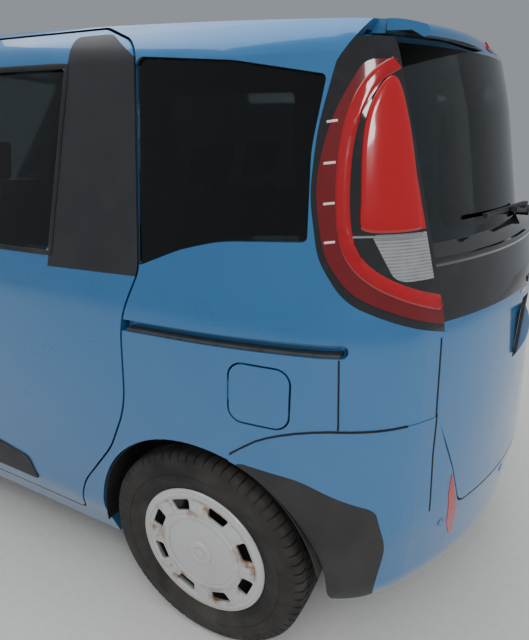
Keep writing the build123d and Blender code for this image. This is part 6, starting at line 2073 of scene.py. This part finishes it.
    def mirrors(self, shop: Workshop) -> None:
        """Glasses and side repeaters of the door mirrors.

        Args:
            shop: The workshop with frame and finishes.
        """
        skin = Skin(shop, "door_mirror_left")

        def face(a: float, b: float, share: float, lift: float) -> Point:
            """Point of the mirror's glass."""
            y, z = 0.925 + 0.070 * a * share, 1.152 + 0.056 * b * share
            return skin.touch((0.3, y, z), (1, 0, 0))[0].x + lift, y, z

        steps = ((1.0, 0.003), (1.0, -0.0015), (0.97, -0.003), (0.5, -0.003), (0.05, -0.003))
        shop.pair("mirror_face", MeshParts().stack(steps, 40, face), "mirror_silver", "front_door")
        line = [skin.from_ahead(0.93 + 0.06 * k / 8, 1.15) for k in range(9)]
        shop.pair("side_repeater", MeshParts().strip(line, 0.014, 0.0015, 0.003), "amber_lens", "front_door")

    def cowl(self, shop: Workshop) -> None:
        """Slats of the air inlet under the windscreen, and the washer jets on the bonnet.

        Args:
            shop: The workshop with frame and finishes.
        """
        skin = Skin(shop, "cowl_panel")
        section = ((-0.004, -0.001), (-0.003, 0.003), (0.001, 0.004), (0.003, -0.001))
        slats = MeshParts()
        for k in range(60):
            y = -0.59 + 0.02 * k
            if abs(abs(y) - 0.47) < 0.03:
                continue
            point, _ = skin.from_above(1.195, y)
            slats.rows([[point + Vector((dx, dy, dz)) for dy, dz in section] for dx in (-0.018, 0.018)])
        shop.place("cowl_slats", slats, "dull_black", smooth=False)
        bonnet = Skin(shop, "bonnet")
        profile = [(-0.002, 0), (-0.002, 0.011), (0.003, 0.009), (0.006, 0.004), (0.006, 0)]
        jets = MeshParts()
        for y in (-0.25, 0.25):
            point, normal = bonnet.from_above(1.32, y)
            jets.lathe(point, normal, LEFT, profile, 20)
        shop.place("washer_jets", jets, "dull_black", "bonnet")


@dataclass
class HiddenPlaces:
    """What shows when bonnet and fuel flap open, and the plate over the right side's pocket."""

    filler_place: tuple = (-1.583, 0.843)

    def build(self, shop: Workshop) -> None:
        """Make the pieces.

        Args:
            shop: The workshop with frame and finishes.
        """
        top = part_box("engine_block")[1].z
        self.engine_boxes(shop, top)
        caps = MeshParts()
        profile = [
            (-0.002, 0.0), (-0.002, 0.026), (0.012, 0.026), (0.015, 0.022), (0.016, 0.01), (0.022, 0.009),
            (0.024, 0.004), (0.024, 0.0),
        ]
        for x in (1.50, 1.30):
            caps.lathe((x, 0.03, top + 0.026), UP, AHEAD, profile, 28)
        pole = [(-0.002, 0), (-0.002, 0.01), (0.012, 0.009), (0.012, 0)]
        for y in (0.18, 0.27):
            caps.lathe((1.40, y, top + 0.141), UP, AHEAD, pole, 16)
        shop.place("engine_caps", caps, "gloss_black")
        x, z = self.filler_place
        point, _ = Skin(shop, "side_frame_left").touch((x, 1.2, z), (0, -1, 0))
        profile = [
            (0.003, 0.0), (-0.004, 0.0), (-0.02, 0.0), (-0.02, 0.008), (-0.016, 0.01), (-0.014, 0.03),
            (-0.010, 0.036), (0.003, 0.037),
        ]
        filler = MeshParts().lathe(point - LEFT * 0.001, -LEFT, UP, profile, 36)
        shop.place("filler_cap", filler, "dull_black")
        self.blank_cover(shop)

    def engine_boxes(self, shop: Workshop, top: float) -> None:
        """Cover, battery and air box on the plain engine block.

        Args:
            shop: The workshop.
            top: Height of the block.
        """
        rib = ((-0.006, -0.001), (-0.004, 0.004), (0.004, 0.004), (0.006, -0.001))
        for name, x, y, long, wide, tall, finish in (
            ("engine_cover", 1.40, -0.12, 0.15, 0.19, 0.028, "dash_plastic"),
            ("battery_case", 1.40, 0.225, 0.12, 0.085, 0.14, "dull_black"),
            ("air_box", 1.60, -0.10, 0.045, 0.2, 0.03, "dull_black"),
        ):
            steps = (
                (1.0, -0.002), (1.0, tall * 0.8), (0.985, tall * 0.95), (0.95, tall), (0.5, tall * 1.01),
                (0.05, tall * 1.01),
            )
            parts = MeshParts().stack(steps, 40, lambda a, b, share, lift: (
                x + long * a * share, y + wide * b * share, top + lift,
            ))
            for k in range(-3, 4) if name == "engine_cover" else ():
                rib_y = y + k * 0.045
                ends = (x - long * 0.7, x + long * 0.7)
                parts.rows([[Vector((end, rib_y + dy, top + tall + dz)) for dy, dz in rib] for end in ends])
            shop.place(name, parts, finish)

    def blank_cover(self, shop: Workshop) -> None:
        """Plain painted plate over the right side's pocket, where no fuel flap belongs.

        Args:
            shop: The workshop with frame and finishes.
        """
        skin = Skin(shop, "fuel_flap")
        low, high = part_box("fuel_flap")
        corner = min(0.038, (high.x - low.x) / 2.2)
        outline = []
        for turn, x, z in (
            (0, high.x - corner, high.z - corner), (90, low.x + corner, high.z - corner),
            (180, low.x + corner, low.z + corner), (270, high.x - corner, low.z + corner),
        ):
            for angle in (radians(turn + 90 * k / 8) for k in range(9)):
                outline.append((x + (corner - 0.001) * cos(angle), z + (corner - 0.001) * sin(angle)))
        shop.place("blank_cover_right", skin.patch(outline, 0.0006).mirrored(), "sky_blue_paint")


def main() -> None:
    """Build studio, finishes and pieces in order."""
    logging.basicConfig(level=logging.INFO, format="%(name)s: %(message)s")
    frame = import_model()
    Studio().build()
    shop = Workshop(frame)
    shop.dress_nodes()
    for side, way in SIDES:
        for end, axle_x in (("rear", REAR_AXLE), ("front", FRONT_AXLE)):
            RoadWheel(end, axle_x, side, way).build(shop)
    TailLamp().build(shop)
    Seams().build(shop)
    Handles().build(shop)
    TailTrim().build(shop)
    BumperTrim().build(shop)
    SeatRow("front_seats", 0.23, (0.38, -0.38), 0.25, 0.3, 0.24, 0.48, 14, (0.38, -0.38)).build(shop)
    SeatRow("second_row_seat", -0.56, (0.3, -0.3), 0.3, 0.3, 0.24, 0.48, 16, (0.4, 0.0, -0.4)).build(shop)
    SeatRow("third_row_seat", -1.3, (0.25, -0.25), 0.25, 0.45, 0.15, 0.4, 16, (0.25, -0.25)).build(shop)
    Cabin().build(shop)
    FrontTrim().build(shop)
    HiddenPlaces().build(shop)


if __name__ == "__main__":
    main()
